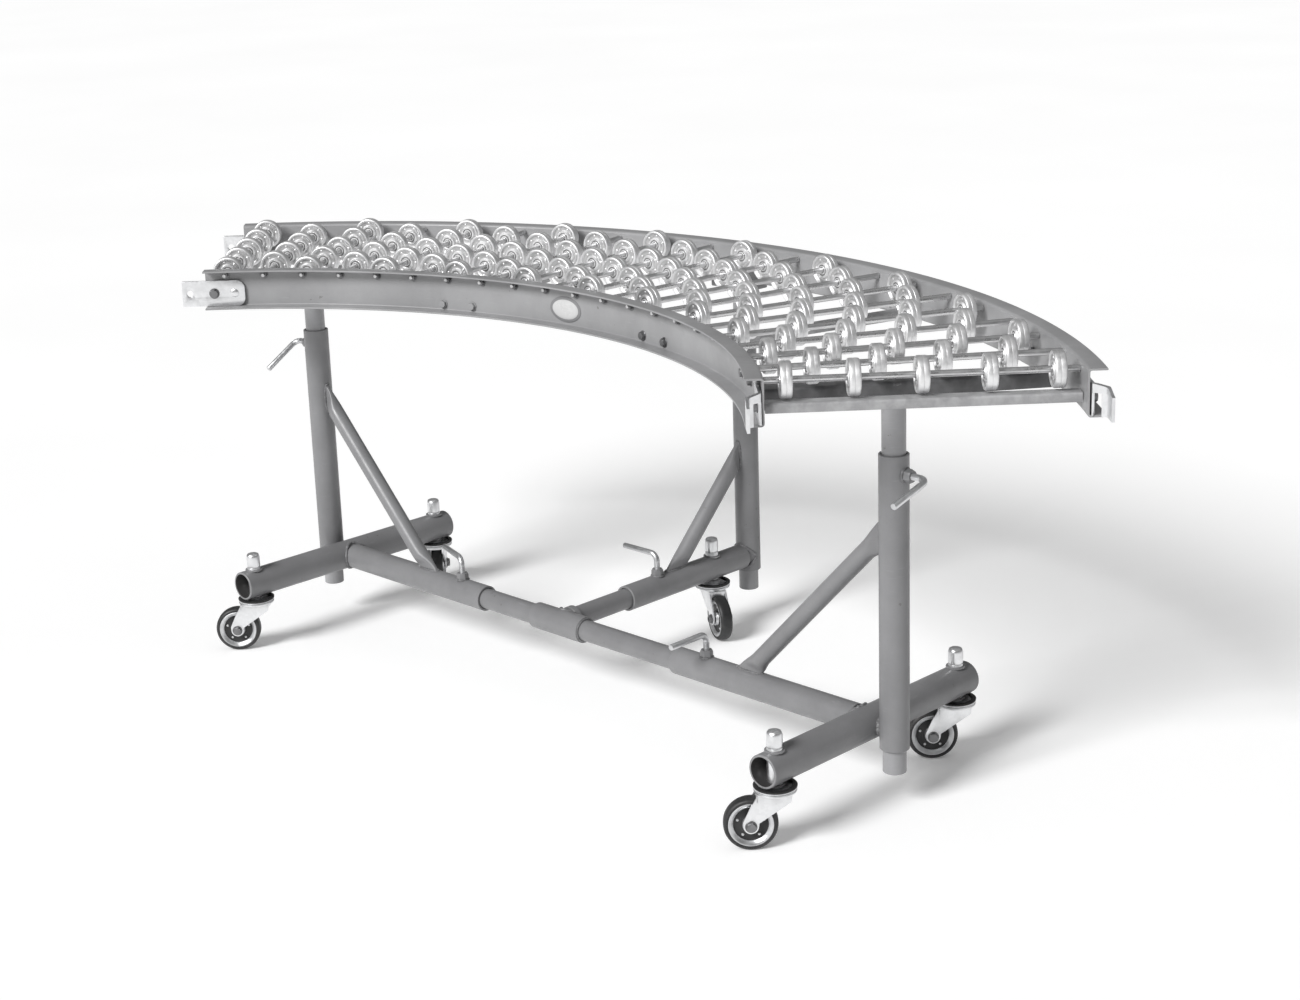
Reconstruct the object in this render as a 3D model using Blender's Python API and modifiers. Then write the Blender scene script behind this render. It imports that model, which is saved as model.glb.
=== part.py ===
"""Portable skate-wheel conveyor curve on an adjustable stand with five swivel casters.

Units are metres, +Z is up and the floor is Z = 0. The bed is a 90 degree curve. Its two
rails are arcs about a vertical axis in front of the stand, and the stand's long base tube
runs along X. The origin is on the floor, under the middle of the overall box.
"""

import math

import bmesh
import bpy
from mathutils import Matrix, Vector

MM = 0.001
GAP = 0.3 * MM
OVERRUN = 5.0 * MM

# Overall placing: the long base tube lies along X at this Y, and the whole model is then
# moved sideways so that the origin is under the middle of the overall box.
BASE_LINE_Y = -94.8 * MM
SIDE_SHIFT = -6.0 * MM

# Bed: a 90 degree curve between two channel rails with their flanges turned outwards.
# The rails run on a little past the quarter circle at both ends.
CURVE_CENTRE_Y = BASE_LINE_Y - 823.0 * MM
INSIDE_RADIUS = 825.5 * MM
BED_WIDTH = 457.2 * MM
HALF_ANGLE = math.radians(45.8)
BED_TOP = 662.0 * MM
RAIL_HEIGHT = 63.5 * MM
FLANGE = 25.4 * MM
RAIL_GAUGE = 2.7 * MM
RAIL_STEPS = 28
OUTSIDE_RADIUS = INSIDE_RADIUS + BED_WIDTH
BED_BOTTOM = BED_TOP - RAIL_HEIGHT
INNER_WEB = INSIDE_RADIUS + FLANGE
OUTER_WEB = OUTSIDE_RADIUS - FLANGE
MID_RADIUS = (INSIDE_RADIUS + OUTSIDE_RADIUS) / 2

# Axles and skate wheels: rows of five and four wheels alternate.
ROWS = 21
ROW_HALF_ANGLE = math.radians(43.6)
AXLE_HEIGHT = BED_TOP - 10.5 * MM
AXLE_RADIUS = 3.175 * MM
AXLE_HOLE_RADIUS = 4.2 * MM
AXLE_OVERHANG = 9.0 * MM
SKATE_RADIUS = 24.6 * MM
SKATE_WIDTH = 15.9 * MM
LANE_PITCH = 87.2 * MM
ROW_SEGMENTS = 10

# Cross members between the rails, and the saddles on top of the two side posts.
CROSS_ANGLES = (-44.1, -16.3, 16.3, 44.1)
CROSS_WIDTH = 25.4 * MM
CROSS_HEIGHT = 12.7 * MM
CROSS_GAUGE = 3.0 * MM
CROSS_CLEARANCE = 1.2 * MM
END_CROSS_LIFT = 14.0 * MM
SADDLE_WIDTH = 38.1 * MM
SADDLE_HEIGHT = 22.0 * MM
SADDLE_GAUGE = 4.0 * MM

# Couplers at the rail ends.
COUPLER_HEIGHT = 42.0 * MM
COUPLER_CLEARANCE = 0.4 * MM
COUPLER_CENTRE = BED_BOTTOM + RAIL_GAUGE + COUPLER_CLEARANCE + COUPLER_HEIGHT / 2
COUPLER_GAUGE = 4.0 * MM
COUPLER_OUT = 39.0 * MM
COUPLER_IN = 64.0 * MM
COUPLER_HOLE_RADIUS = 5.5 * MM
COUPLER_OFFSET = 1.6 * MM
COUPLER_HOLE_INSET = 13.0 * MM
HOOK_JOG = 17.5 * MM
HOOK_JOG_START = 2.0 * MM
HOOK_JOG_LENGTH = 14.0 * MM
HOOK_BACK_SHIFT = 2.5 * MM

# Stand pipes: 1-1/4 inch sleeves and arms, 1 inch sliding tubes, 1-1/2 inch feet.
SLEEVE_RADIUS = 21.1 * MM
SLEEVE_BORE = 17.55 * MM
TUBE_RADIUS = 16.7 * MM
TUBE_BORE = 13.3 * MM
FOOT_RADIUS = 24.15 * MM
FOOT_BORE = 20.45 * MM
PIPE_SIDES = 12
BASE_HEIGHT = 118.0 * MM
POST_X = 634.0 * MM
FOOT_X = POST_X - SLEEVE_RADIUS - FOOT_RADIUS
FOOT_HALF_LENGTH = 224.0 * MM
SLEEVE_TOP = 517.0 * MM
SLEEVE_BOTTOM = 92.0 * MM
POST_BOTTOM = 57.0 * MM
ARM_END = 218.0 * MM
MID_X = -40.0 * MM
MID_POST_Y = BASE_LINE_Y + 444.0 * MM
MID_ARM_START_Y = BASE_LINE_Y + 145.0 * MM
TEE_HALF_LENGTH = 55.0 * MM
TEE_BRANCH = 8.0 * MM
TUBE_INSERT = 112.0 * MM
POST_CAP = 6.0 * MM
WALL_LEFT = 4.0 * MM
CORNER_WELD_RADIUS = 9.0 * MM
CORNER_WELD_LENGTH = 30.0 * MM
SHELF_SIZE = (90.0 * MM, 46.0 * MM, 8.0 * MM)
SHELF_SHIFT_Y = -8.0 * MM
BRACE_RADIUS = 13.35 * MM
BRACE_SIDES = 12
BRACE_FLAT_LENGTH = 36.0 * MM
BRACE_TAPER_LENGTH = 22.0 * MM
BRACE_FLAT_THICKNESS = 0.34
BRACE_FLAT_WIDTH = 1.25
BRACE_SINK = 17.0 * MM
SIDE_BRACE_FOOT = 366.0 * MM
SIDE_BRACE_TOP = 398.0 * MM
MID_BRACE_FOOT_Y = BASE_LINE_Y + 264.0 * MM
MID_BRACE_TOP = 300.0 * MM

# Clamp handles: a bent rod screwed through a nut welded on the sleeve or arm.
HANDLE_RADIUS = 4.75 * MM
HANDLE_STANDOFF = 36.0 * MM
HANDLE_REACH = 76.0 * MM
HANDLE_BEND = 11.0 * MM
HANDLE_BEND_STEPS = 3
CLAMP_HOLE_RADIUS = 5.55 * MM
NUT_RADIUS = 10.0 * MM
NUT_HEIGHT = 11.0 * MM
NUT_SINK = 2.5 * MM
LEFT_POST_DROOP = math.radians(32.0)
RIGHT_POST_DROOP = math.radians(15.0)
POST_CLAMP_DROP = 27.0 * MM
SIDE_CLAMP_X = 278.0 * MM
MID_CLAMP_Y = BASE_LINE_Y + 220.0 * MM

# Swivel casters: 3 inch wheels on stems that pass up through the feet.
CASTER_RADIUS = 38.1 * MM
CASTER_WIDTH = 21.0 * MM
CASTER_BORE = 4.6 * MM
CASTER_SEGMENTS = 20
CASTER_AXLE_Z = CASTER_RADIUS * math.cos(math.pi / CASTER_SEGMENTS)
CASTER_TREAD = 12.6 * MM
CASTER_SHOULDER = 4.5 * MM
CASTER_TRAIL = 34.0 * MM
STEM_RADIUS = 11.1 * MM
STEM_TOP = 171.0 * MM
STEM_HOLE_RADIUS = 12.0 * MM
FORK_GAUGE = 3.0 * MM
FORK_INNER = 12.4 * MM
FORK_TOP = 91.0 * MM
FORK_FRONT = 24.0 * MM
FORK_BACK = 26.0 * MM
FORK_SHOULDER_OUT = 38.0 * MM
FORK_SHOULDER_Z = 62.0 * MM
FORK_EYE_RADIUS = 11.0 * MM
FORK_EYE_CORNER = 7.0 * MM
RACE_RADIUS = 30.0 * MM
RACE_HEIGHT = 8.0 * MM
BOLT_RADIUS = 4.0 * MM
CASTER_Y = 199.0 * MM
MID_CASTER_Y = BASE_LINE_Y + 352.0 * MM

COLLECTION = "skate_wheel_conveyor_curve"
CUTTERS = "cutters"


# ---------------------------------------------------------------- set-up and helpers

def clear_scene():
    for obj in list(bpy.data.objects):
        bpy.data.objects.remove(obj, do_unlink=True)


def collection(name):
    found = bpy.data.collections.get(name)
    if found is None:
        found = bpy.data.collections.new(name)
        bpy.context.scene.collection.children.link(found)
    return found


def material(name, colour, roughness, metallic):
    made = bpy.data.materials.new(name)
    made.use_nodes = True
    shader = made.node_tree.nodes["Principled BSDF"]
    shader.inputs["Base Color"].default_value = (*colour, 1.0)
    shader.inputs["Roughness"].default_value = roughness
    shader.inputs["Metallic"].default_value = metallic
    return made


def add_object(name, data, group=COLLECTION):
    obj = bpy.data.objects.new(name, data)
    collection(group).objects.link(obj)
    return obj


def finish_part(obj, finish, angle=40.0):
    """Give a finished part its own material and smooth shading on its round faces."""
    obj.data.materials.clear()
    obj.data.materials.append(material(f"{obj.name}_finish", *finish))
    if obj.type == "MESH":
        obj.data.shade_smooth()
        obj.data.set_sharp_from_angle(angle=math.radians(angle))
    return obj


def hide_cutter(obj):
    obj.hide_render = True
    obj.display_type = "WIRE"
    return obj


def mesh_from(bm, name):
    bmesh.ops.recalc_face_normals(bm, faces=bm.faces)
    mesh = bpy.data.meshes.new(name)
    bm.to_mesh(mesh)
    bm.free()
    return mesh


def frame_matrix(origin, axis, side=None):
    """A matrix whose local Z is the axis and whose local X points as near to side as it can."""
    z_axis = Vector(axis).normalized()
    guess = Vector(side) if side is not None else Vector((0.0, 0.0, 1.0))
    if abs(guess.normalized().dot(z_axis)) > 0.99:
        guess = Vector((1.0, 0.0, 0.0))
    x_axis = (guess - z_axis * guess.dot(z_axis)).normalized()
    y_axis = z_axis.cross(x_axis)
    turn = Matrix((x_axis, y_axis, z_axis)).transposed().to_4x4()
    return Matrix.Translation(Vector(origin)) @ turn


def rod(name, start, end, radius, sides=PIPE_SIDES, group=CUTTERS):
    """A solid cylinder between two points."""
    start = Vector(start)
    end = Vector(end)
    bm = bmesh.new()
    bmesh.ops.create_cone(bm, cap_ends=True, segments=sides, radius1=radius, radius2=radius,
                          depth=(end - start).length)
    half_facet = Matrix.Rotation(math.pi / sides, 4, "Z")
    bmesh.ops.transform(bm, matrix=half_facet, verts=bm.verts)
    obj = add_object(name, mesh_from(bm, name), group)
    obj.matrix_world = frame_matrix((start + end) / 2, end - start)
    return obj


def box(name, size, centre, group=CUTTERS):
    bm = bmesh.new()
    bmesh.ops.create_cube(bm, size=1.0)
    bmesh.ops.scale(bm, vec=size, verts=bm.verts)
    obj = add_object(name, mesh_from(bm, name), group)
    obj.location = centre
    return obj


def prism(name, outline, depth, group=CUTTERS):
    """A flat outline in local XY, extruded by depth along local Z about its middle."""
    curve = bpy.data.curves.new(name, "CURVE")
    curve.dimensions = "2D"
    curve.fill_mode = "BOTH"
    curve.extrude = depth / 2
    spline = curve.splines.new("POLY")
    spline.points.add(len(outline) - 1)
    for point, (x, y) in zip(spline.points, outline):
        point.co = (x, y, 0.0, 1.0)
    spline.use_cyclic_u = True
    return curve_to_mesh(name, curve, group)


def curve_to_mesh(name, curve, group):
    """Turn a curve into a welded mesh object."""
    guide = add_object(f"{name}_guide", curve, group)
    graph = bpy.context.evaluated_depsgraph_get()
    mesh = bpy.data.meshes.new_from_object(guide.evaluated_get(graph))
    mesh.name = name
    bm = bmesh.new()
    bm.from_mesh(mesh)
    bmesh.ops.remove_doubles(bm, verts=bm.verts, dist=0.01 * MM)
    bmesh.ops.recalc_face_normals(bm, faces=bm.faces)
    bm.to_mesh(mesh)
    bm.free()
    obj = add_object(name, mesh, group)
    obj.matrix_world = guide.matrix_world
    bpy.data.objects.remove(guide, do_unlink=True)
    return obj


def boolean(target, tool, operation):
    modifier = target.modifiers.new(tool.name, "BOOLEAN")
    modifier.operation = operation
    modifier.solver = "EXACT"
    modifier.object = tool
    hide_cutter(tool)


def weldment(name, joined, cut, finish):
    """One body: the first piece united with the others, less every cutter."""
    body = joined[0]
    body.name = name
    for tool in joined[1:]:
        boolean(body, tool, "UNION")
    for tool in cut:
        boolean(body, tool, "DIFFERENCE")
    collection(CUTTERS).objects.unlink(body)
    collection(COLLECTION).objects.link(body)
    return finish_part(body, finish)


def turned(name, profile, segments, start_angle=0.0):
    """A mesh object turned about local Z from a list of (radius, height) points."""
    mesh = bpy.data.meshes.new(name)
    bm = bmesh.new()
    cosine = math.cos(start_angle)
    sine = math.sin(start_angle)
    points = [bm.verts.new((r * cosine, r * sine, z)) for r, z in profile]
    closed = profile[0][0] > 0.0
    for first, second in zip(points, points[1:]):
        bm.edges.new((first, second))
    if closed:
        bm.edges.new((points[-1], points[0]))
    bm.to_mesh(mesh)
    bm.free()
    obj = add_object(name, mesh)
    screw = obj.modifiers.new("turn", "SCREW")
    screw.angle = math.tau
    screw.steps = segments
    screw.render_steps = segments
    screw.use_merge_vertices = True
    screw.merge_threshold = 0.00005
    screw.use_smooth_shade = True
    return obj


def bed_point(radius, angle, height):
    """A point of the bed at a radius and angle about the curve's centre."""
    return Vector((radius * math.sin(angle), CURVE_CENTRE_Y + radius * math.cos(angle), height))


def outward(angle):
    return Vector((math.sin(angle), math.cos(angle), 0.0))


def along(angle):
    return Vector((math.cos(angle), -math.sin(angle), 0.0))


# ---------------------------------------------------------------- finishes

RAIL_PAINT = ((0.30, 0.30, 0.31), 0.45, 0.35)
STAND_PAINT = ((0.22, 0.22, 0.23), 0.45, 0.35)
ZINC = ((0.80, 0.80, 0.82), 0.30, 1.0)
RUBBER = ((0.02, 0.02, 0.022), 0.55, 0.0)


# ---------------------------------------------------------------- bed

def channel_section(web_face, flange_edge):
    """The rail's C section as (radius, height) points, from its web face to its flange edges."""
    side = math.copysign(RAIL_GAUGE, flange_edge - web_face)
    low = BED_BOTTOM + RAIL_GAUGE
    high = BED_TOP - RAIL_GAUGE
    return [(web_face, BED_BOTTOM), (flange_edge, BED_BOTTOM), (flange_edge, low), (web_face + side, low),
            (web_face + side, high), (flange_edge, high), (flange_edge, BED_TOP), (web_face, BED_TOP)]


def rail(name, web_face, flange_edge):
    bm = bmesh.new()
    section = channel_section(web_face, flange_edge)
    start = -HALF_ANGLE
    corners = [bm.verts.new((r * math.sin(start), r * math.cos(start), z)) for r, z in section]
    face = bm.faces.new(corners)
    bmesh.ops.spin(bm, geom=[face] + list(face.edges) + corners, cent=(0, 0, 0), axis=(0, 0, -1),
                   angle=2 * HALF_ANGLE, steps=RAIL_STEPS, use_duplicate=False)
    body = add_object(name, mesh_from(bm, name), CUTTERS)
    body.location = (0.0, CURVE_CENTRE_Y, 0.0)
    holes = []
    for row, angle in enumerate(row_angles(), start=1):
        centre = bed_point(web_face, angle, AXLE_HEIGHT)
        reach = outward(angle) * (RAIL_GAUGE + OVERRUN)
        holes.append(rod(f"{name}_hole_{row:02d}", centre - reach, centre + reach, AXLE_HOLE_RADIUS, 6))
    drill = join_tools(f"{name}_holes", holes)
    return weldment(name, [body], [drill], RAIL_PAINT)


def join_tools(name, tools):
    """Cutters that don't touch each other, as one cutter."""
    bm = bmesh.new()
    for tool in tools:
        piece = tool.data.copy()
        piece.transform(tool.matrix_basis)
        bm.from_mesh(piece)
        bpy.data.objects.remove(tool, do_unlink=True)
    mesh = bpy.data.meshes.new(name)
    bm.to_mesh(mesh)
    bm.free()
    return add_object(name, mesh, CUTTERS)


def row_angles():
    step = 2 * ROW_HALF_ANGLE / (ROWS - 1)
    return [-ROW_HALF_ANGLE + step * row for row in range(ROWS)]


def row_profile(wheels):
    """The turned outline of an axle with its wheels, from the outer end to the inner end."""
    half_axle = (OUTER_WEB - INNER_WEB) / 2 + RAIL_GAUGE + AXLE_OVERHANG
    profile = [(0.0, half_axle), (AXLE_RADIUS, half_axle)]
    for wheel in range(wheels):
        middle = LANE_PITCH * ((wheels - 1) / 2 - wheel)
        top = middle + SKATE_WIDTH / 2
        bottom = middle - SKATE_WIDTH / 2
        profile += [(AXLE_RADIUS, top), (SKATE_RADIUS, top), (SKATE_RADIUS, bottom), (AXLE_RADIUS, bottom)]
    profile += [(AXLE_RADIUS, -half_axle), (0.0, -half_axle)]
    return profile


def wheel_rows():
    for row, angle in enumerate(row_angles(), start=1):
        wheels = 5 if row % 2 == 1 else 4
        obj = turned(f"wheel_row_{row:02d}", row_profile(wheels), ROW_SEGMENTS)
        obj.matrix_world = frame_matrix(bed_point(MID_RADIUS, angle, AXLE_HEIGHT), outward(angle))
        finish_part(obj, ZINC)


def cross_members():
    """Four light channels between the webs, open side down; the two end ones sit higher."""
    length = OUTER_WEB - INNER_WEB - 2 * CROSS_CLEARANCE
    names = ("left_end_cross_member", "left_cross_member", "right_cross_member", "right_end_cross_member")
    for name, degrees in zip(names, CROSS_ANGLES):
        angle = math.radians(degrees)
        body = prism(name, open_channel(CROSS_WIDTH, CROSS_HEIGHT, CROSS_GAUGE), length)
        lift = END_CROSS_LIFT if "end" in name else 0.0
        centre = bed_point((INNER_WEB + OUTER_WEB) / 2, angle, BED_BOTTOM + lift)
        body.matrix_world = frame_matrix(centre, outward(angle), along(angle))
        if body.matrix_world.col[1].z < 0:
            body.matrix_world = body.matrix_world @ Matrix.Rotation(math.pi, 4, "Z")
        weldment(name, [body], [], RAIL_PAINT)


def open_channel(width, height, gauge):
    """A channel's section, open at the bottom, with its lower edges at Y = 0."""
    half = width / 2
    return [(-half, 0), (-half + gauge, 0), (-half + gauge, height - gauge), (half - gauge, height - gauge),
            (half - gauge, 0), (half, 0), (half, height), (-half, height)]


def coupler_outline(hooked):
    """A coupler seen from above: X runs out of the rail's end and Y away from the web."""
    near = COUPLER_OFFSET
    far = COUPLER_OFFSET + COUPLER_GAUGE
    if not hooked:
        return [(-COUPLER_IN, near), (COUPLER_OUT, near), (COUPLER_OUT, far), (-COUPLER_IN, far)]
    start = HOOK_JOG_START
    bend = HOOK_JOG_LENGTH
    back = HOOK_BACK_SHIFT
    return [(-COUPLER_IN, near), (start, near), (bend, near + HOOK_JOG), (COUPLER_OUT, near + HOOK_JOG),
            (COUPLER_OUT, far + HOOK_JOG), (bend - back, far + HOOK_JOG), (start - back, far),
            (-COUPLER_IN, far)]


def coupler(name, web_back, side, end, hooked):
    """A flat or hooked strap bolted in the rail's hollow and standing past the rail's end."""
    middle = COUPLER_IN / 2 / web_back
    angle = end * (HALF_ANGLE - middle)
    run = along(angle) * end
    away = outward(angle) * side
    centre = bed_point(web_back, angle, COUPLER_CENTRE)
    origin = centre + run * (COUPLER_IN / 2)
    body = prism(name, coupler_outline(hooked), COUPLER_HEIGHT)
    turn = Matrix((run, away, run.cross(away))).transposed().to_4x4()
    body.matrix_world = Matrix.Translation(origin) @ turn
    hole_at = origin + run * (COUPLER_OUT - COUPLER_HOLE_INSET)
    hole_end = hole_at + away * (HOOK_JOG + 2 * OVERRUN)
    hole = rod(f"{name}_hole", hole_at - away * OVERRUN, hole_end, COUPLER_HOLE_RADIUS, 10)
    weldment(name, [body], [hole], ZINC)


def couplers():
    inner_back = INNER_WEB - RAIL_GAUGE
    outer_back = OUTER_WEB + RAIL_GAUGE
    coupler("inner_coupling_plate", inner_back, -1, -1, False)
    coupler("outer_coupling_plate", outer_back, 1, -1, False)
    coupler("inner_coupling_hook", inner_back, -1, 1, True)
    coupler("outer_coupling_hook", outer_back, 1, 1, True)


# ---------------------------------------------------------------- stand

def clamp_nut(name, on_axis, direction):
    """A nut standing on a pipe, and the hole down its middle into the pipe's bore."""
    direction = Vector(direction)
    seat = on_axis + direction * (SLEEVE_RADIUS - NUT_SINK)
    top = on_axis + direction * (SLEEVE_RADIUS + NUT_HEIGHT)
    nut = rod(f"{name}_nut", seat, top, NUT_RADIUS, 6)
    hole = rod(f"{name}_nut_hole", on_axis, top + direction * OVERRUN, CLAMP_HOLE_RADIUS, 8)
    return nut, hole


def side_leg(name, side):
    """Sleeve, foot and arm of the left (-1) or right (+1) leg, welded into one piece."""
    post = Vector((side * POST_X, BASE_LINE_Y, 0.0))
    foot = Vector((side * FOOT_X, BASE_LINE_Y, BASE_HEIGHT))
    half = Vector((0.0, FOOT_HALF_LENGTH, 0.0))
    up = Vector((0.0, 0.0, 1.0))
    arm_end = Vector((side * ARM_END, BASE_LINE_Y, BASE_HEIGHT))
    past = Vector((0.0, OVERRUN, 0.0))
    sleeve = rod(name, post + up * SLEEVE_BOTTOM, post + up * SLEEVE_TOP, SLEEVE_RADIUS)
    foot_tube = rod(f"{name}_foot", foot - half, foot + half, FOOT_RADIUS)
    arm = rod(f"{name}_arm", foot, arm_end, SLEEVE_RADIUS)
    weld_end = foot + Vector((side * CORNER_WELD_LENGTH, 0.0, 0.0))
    weld = rod(f"{name}_weld", foot, weld_end, CORNER_WELD_RADIUS, 8)
    clamp_height = SLEEVE_TOP - POST_CLAMP_DROP
    post_nut, post_hole = clamp_nut(f"{name}_post", post + up * clamp_height, (side, 0, 0))
    arm_clamp = Vector((side * SIDE_CLAMP_X, BASE_LINE_Y, BASE_HEIGHT))
    arm_nut, arm_hole = clamp_nut(f"{name}_arm", arm_clamp, (0, 0, 1))
    inner_wall = Vector((side * (FOOT_X - FOOT_RADIUS - WALL_LEFT), BASE_LINE_Y, BASE_HEIGHT))
    cut = [
        rod(f"{name}_sleeve_bore", post + up * (SLEEVE_BOTTOM - OVERRUN),
            post + up * (SLEEVE_TOP + OVERRUN), SLEEVE_BORE),
        rod(f"{name}_foot_bore", foot - half - past, foot + half + past, FOOT_BORE),
        rod(f"{name}_arm_bore", inner_wall, arm_end - Vector((side * OVERRUN, 0.0, 0.0)), SLEEVE_BORE),
        post_hole,
        arm_hole,
    ]
    for y_side in (-1, 1):
        at = foot + Vector((0.0, y_side * CASTER_Y, 0.0))
        reach = up * 2 * FOOT_RADIUS
        cut.append(rod(f"{name}_stem_hole_{y_side}", at - reach, at + reach, STEM_HOLE_RADIUS, 12))
    return weldment(name, [sleeve, foot_tube, arm, weld, post_nut, arm_nut], cut, STAND_PAINT)


def middle_leg(name):
    """Sleeve and arm of the leg under the outer rail, welded into one piece."""
    post = Vector((MID_X, MID_POST_Y, 0.0))
    up = Vector((0.0, 0.0, 1.0))
    arm_start = Vector((MID_X, MID_ARM_START_Y, BASE_HEIGHT))
    sleeve = rod(name, post + up * SLEEVE_BOTTOM, post + up * SLEEVE_TOP, SLEEVE_RADIUS)
    arm = rod(f"{name}_arm", arm_start, post + up * BASE_HEIGHT, SLEEVE_RADIUS)
    clamp_height = SLEEVE_TOP - POST_CLAMP_DROP
    post_nut, post_hole = clamp_nut(f"{name}_post", post + up * clamp_height, (-1, 0, 0))
    arm_nut, arm_hole = clamp_nut(f"{name}_arm", Vector((MID_X, MID_CLAMP_Y, BASE_HEIGHT)), (0, 0, 1))
    stem = Vector((MID_X, MID_CASTER_Y, BASE_HEIGHT))
    stem_reach = up * 2 * SLEEVE_RADIUS
    bore_end = Vector((MID_X, MID_POST_Y - SLEEVE_RADIUS - WALL_LEFT, BASE_HEIGHT))
    cut = [
        rod(f"{name}_sleeve_bore", post + up * (SLEEVE_BOTTOM - OVERRUN),
            post + up * (SLEEVE_TOP + OVERRUN), SLEEVE_BORE),
        rod(f"{name}_arm_bore", arm_start - Vector((0.0, OVERRUN, 0.0)), bore_end, SLEEVE_BORE),
        rod(f"{name}_stem_hole", stem - stem_reach, stem + stem_reach, STEM_HOLE_RADIUS, 12),
        post_hole,
        arm_hole,
    ]
    return weldment(name, [sleeve, arm, post_nut, arm_nut], cut, STAND_PAINT)


def centre_tee():
    """The base's centre sleeve with its three sliding tubes."""
    tee = Vector((MID_X, BASE_LINE_Y, BASE_HEIGHT))
    half = Vector((TEE_HALF_LENGTH, 0.0, 0.0))
    reach = ARM_END + TUBE_INSERT
    left = Vector((-reach, BASE_LINE_Y, BASE_HEIGHT))
    right = Vector((reach, BASE_LINE_Y, BASE_HEIGHT))
    back = Vector((MID_X, MID_ARM_START_Y + TUBE_INSERT, BASE_HEIGHT))
    past = Vector((OVERRUN, 0.0, 0.0))
    branch_end = tee + Vector((0.0, SLEEVE_RADIUS + TEE_BRANCH, 0.0))
    joined = [
        rod("centre_tee", tee - half, tee + half, SLEEVE_RADIUS),
        rod("centre_tee_long_tube", left, right, TUBE_RADIUS),
        rod("centre_tee_branch", tee, branch_end, SLEEVE_RADIUS - GAP),
        rod("centre_tee_back_tube", tee, back, TUBE_RADIUS),
    ]
    cut = [
        rod("centre_tee_long_bore", left - past, right + past, TUBE_BORE),
        rod("centre_tee_back_bore", tee, back + Vector((0.0, OVERRUN, 0.0)), TUBE_BORE),
    ]
    return weldment("centre_tee", joined, cut, STAND_PAINT)


def inner_post(name, base, saddle_parts, top):
    """A sliding post with its saddle welded on top."""
    up = Vector((0.0, 0.0, 1.0))
    tube = rod(name, base + up * POST_BOTTOM, base + up * top, TUBE_RADIUS)
    bore = rod(f"{name}_bore", base + up * (POST_BOTTOM - OVERRUN), base + up * (top - POST_CAP), TUBE_BORE)
    return weldment(name, [tube] + saddle_parts, [bore], STAND_PAINT)


def saddle_bar(name, angle):
    """A channel across the bed, between the webs, that carries the rails."""
    length = OUTER_WEB - INNER_WEB - 2 * CROSS_CLEARANCE
    body = prism(f"{name}_saddle", open_channel(SADDLE_WIDTH, SADDLE_HEIGHT, SADDLE_GAUGE), length)
    centre = bed_point((INNER_WEB + OUTER_WEB) / 2, angle, BED_BOTTOM)
    body.matrix_world = frame_matrix(centre, outward(angle), along(angle))
    if body.matrix_world.col[1].z < 0:
        body.matrix_world = body.matrix_world @ Matrix.Rotation(math.pi, 4, "Z")
    return body


def posts():
    saddle_under = BED_BOTTOM + SADDLE_HEIGHT - SADDLE_GAUGE / 2
    for name, side in (("left_inner_post", -1), ("right_inner_post", 1)):
        base = Vector((side * POST_X, BASE_LINE_Y, 0.0))
        angle = math.atan2(base.x, base.y - CURVE_CENTRE_Y)
        inner_post(name, base, [saddle_bar(name, angle)], saddle_under)
    base = Vector((MID_X, MID_POST_Y, 0.0))
    shelf_middle = BED_BOTTOM - GAP - SHELF_SIZE[2] / 2
    shelf = box("middle_inner_post_shelf", SHELF_SIZE, base + Vector((0.0, SHELF_SHIFT_Y, shelf_middle)))
    inner_post("middle_inner_post", base, [shelf], shelf_middle)


def brace(name, low, high, arm_axis, post_base):
    """A pipe brace with flattened ends, coped to the arm below it and the sleeve beside it."""
    low = Vector(low)
    high = Vector(high)
    length = (high - low).length
    bm = bmesh.new()
    bmesh.ops.create_cone(bm, cap_ends=True, segments=BRACE_SIDES, radius1=BRACE_RADIUS,
                          radius2=BRACE_RADIUS, depth=length)
    flat_from = length / 2 - BRACE_FLAT_LENGTH
    for height in (flat_from, flat_from - BRACE_TAPER_LENGTH):
        for end in (-1, 1):
            bmesh.ops.bisect_plane(bm, geom=list(bm.verts) + list(bm.edges) + list(bm.faces),
                                   plane_co=(0, 0, end * height), plane_no=(0, 0, 1))
    for vert in bm.verts:
        if abs(vert.co.z) > flat_from - MM:
            vert.co.x *= BRACE_FLAT_WIDTH
            vert.co.y *= BRACE_FLAT_THICKNESS
    body = add_object(name, mesh_from(bm, name), CUTTERS)
    body.matrix_world = frame_matrix((low + high) / 2, high - low, (0, 0, 1))
    arm_start, arm_stop = arm_axis
    up = Vector((0.0, 0.0, 1.0))
    cut = [
        rod(f"{name}_arm_cope", arm_start, arm_stop, SLEEVE_RADIUS + GAP),
        rod(f"{name}_post_cope", post_base + up * SLEEVE_BOTTOM, post_base + up * SLEEVE_TOP,
            SLEEVE_RADIUS + GAP),
    ]
    return weldment(name, [body], cut, STAND_PAINT)


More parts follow.
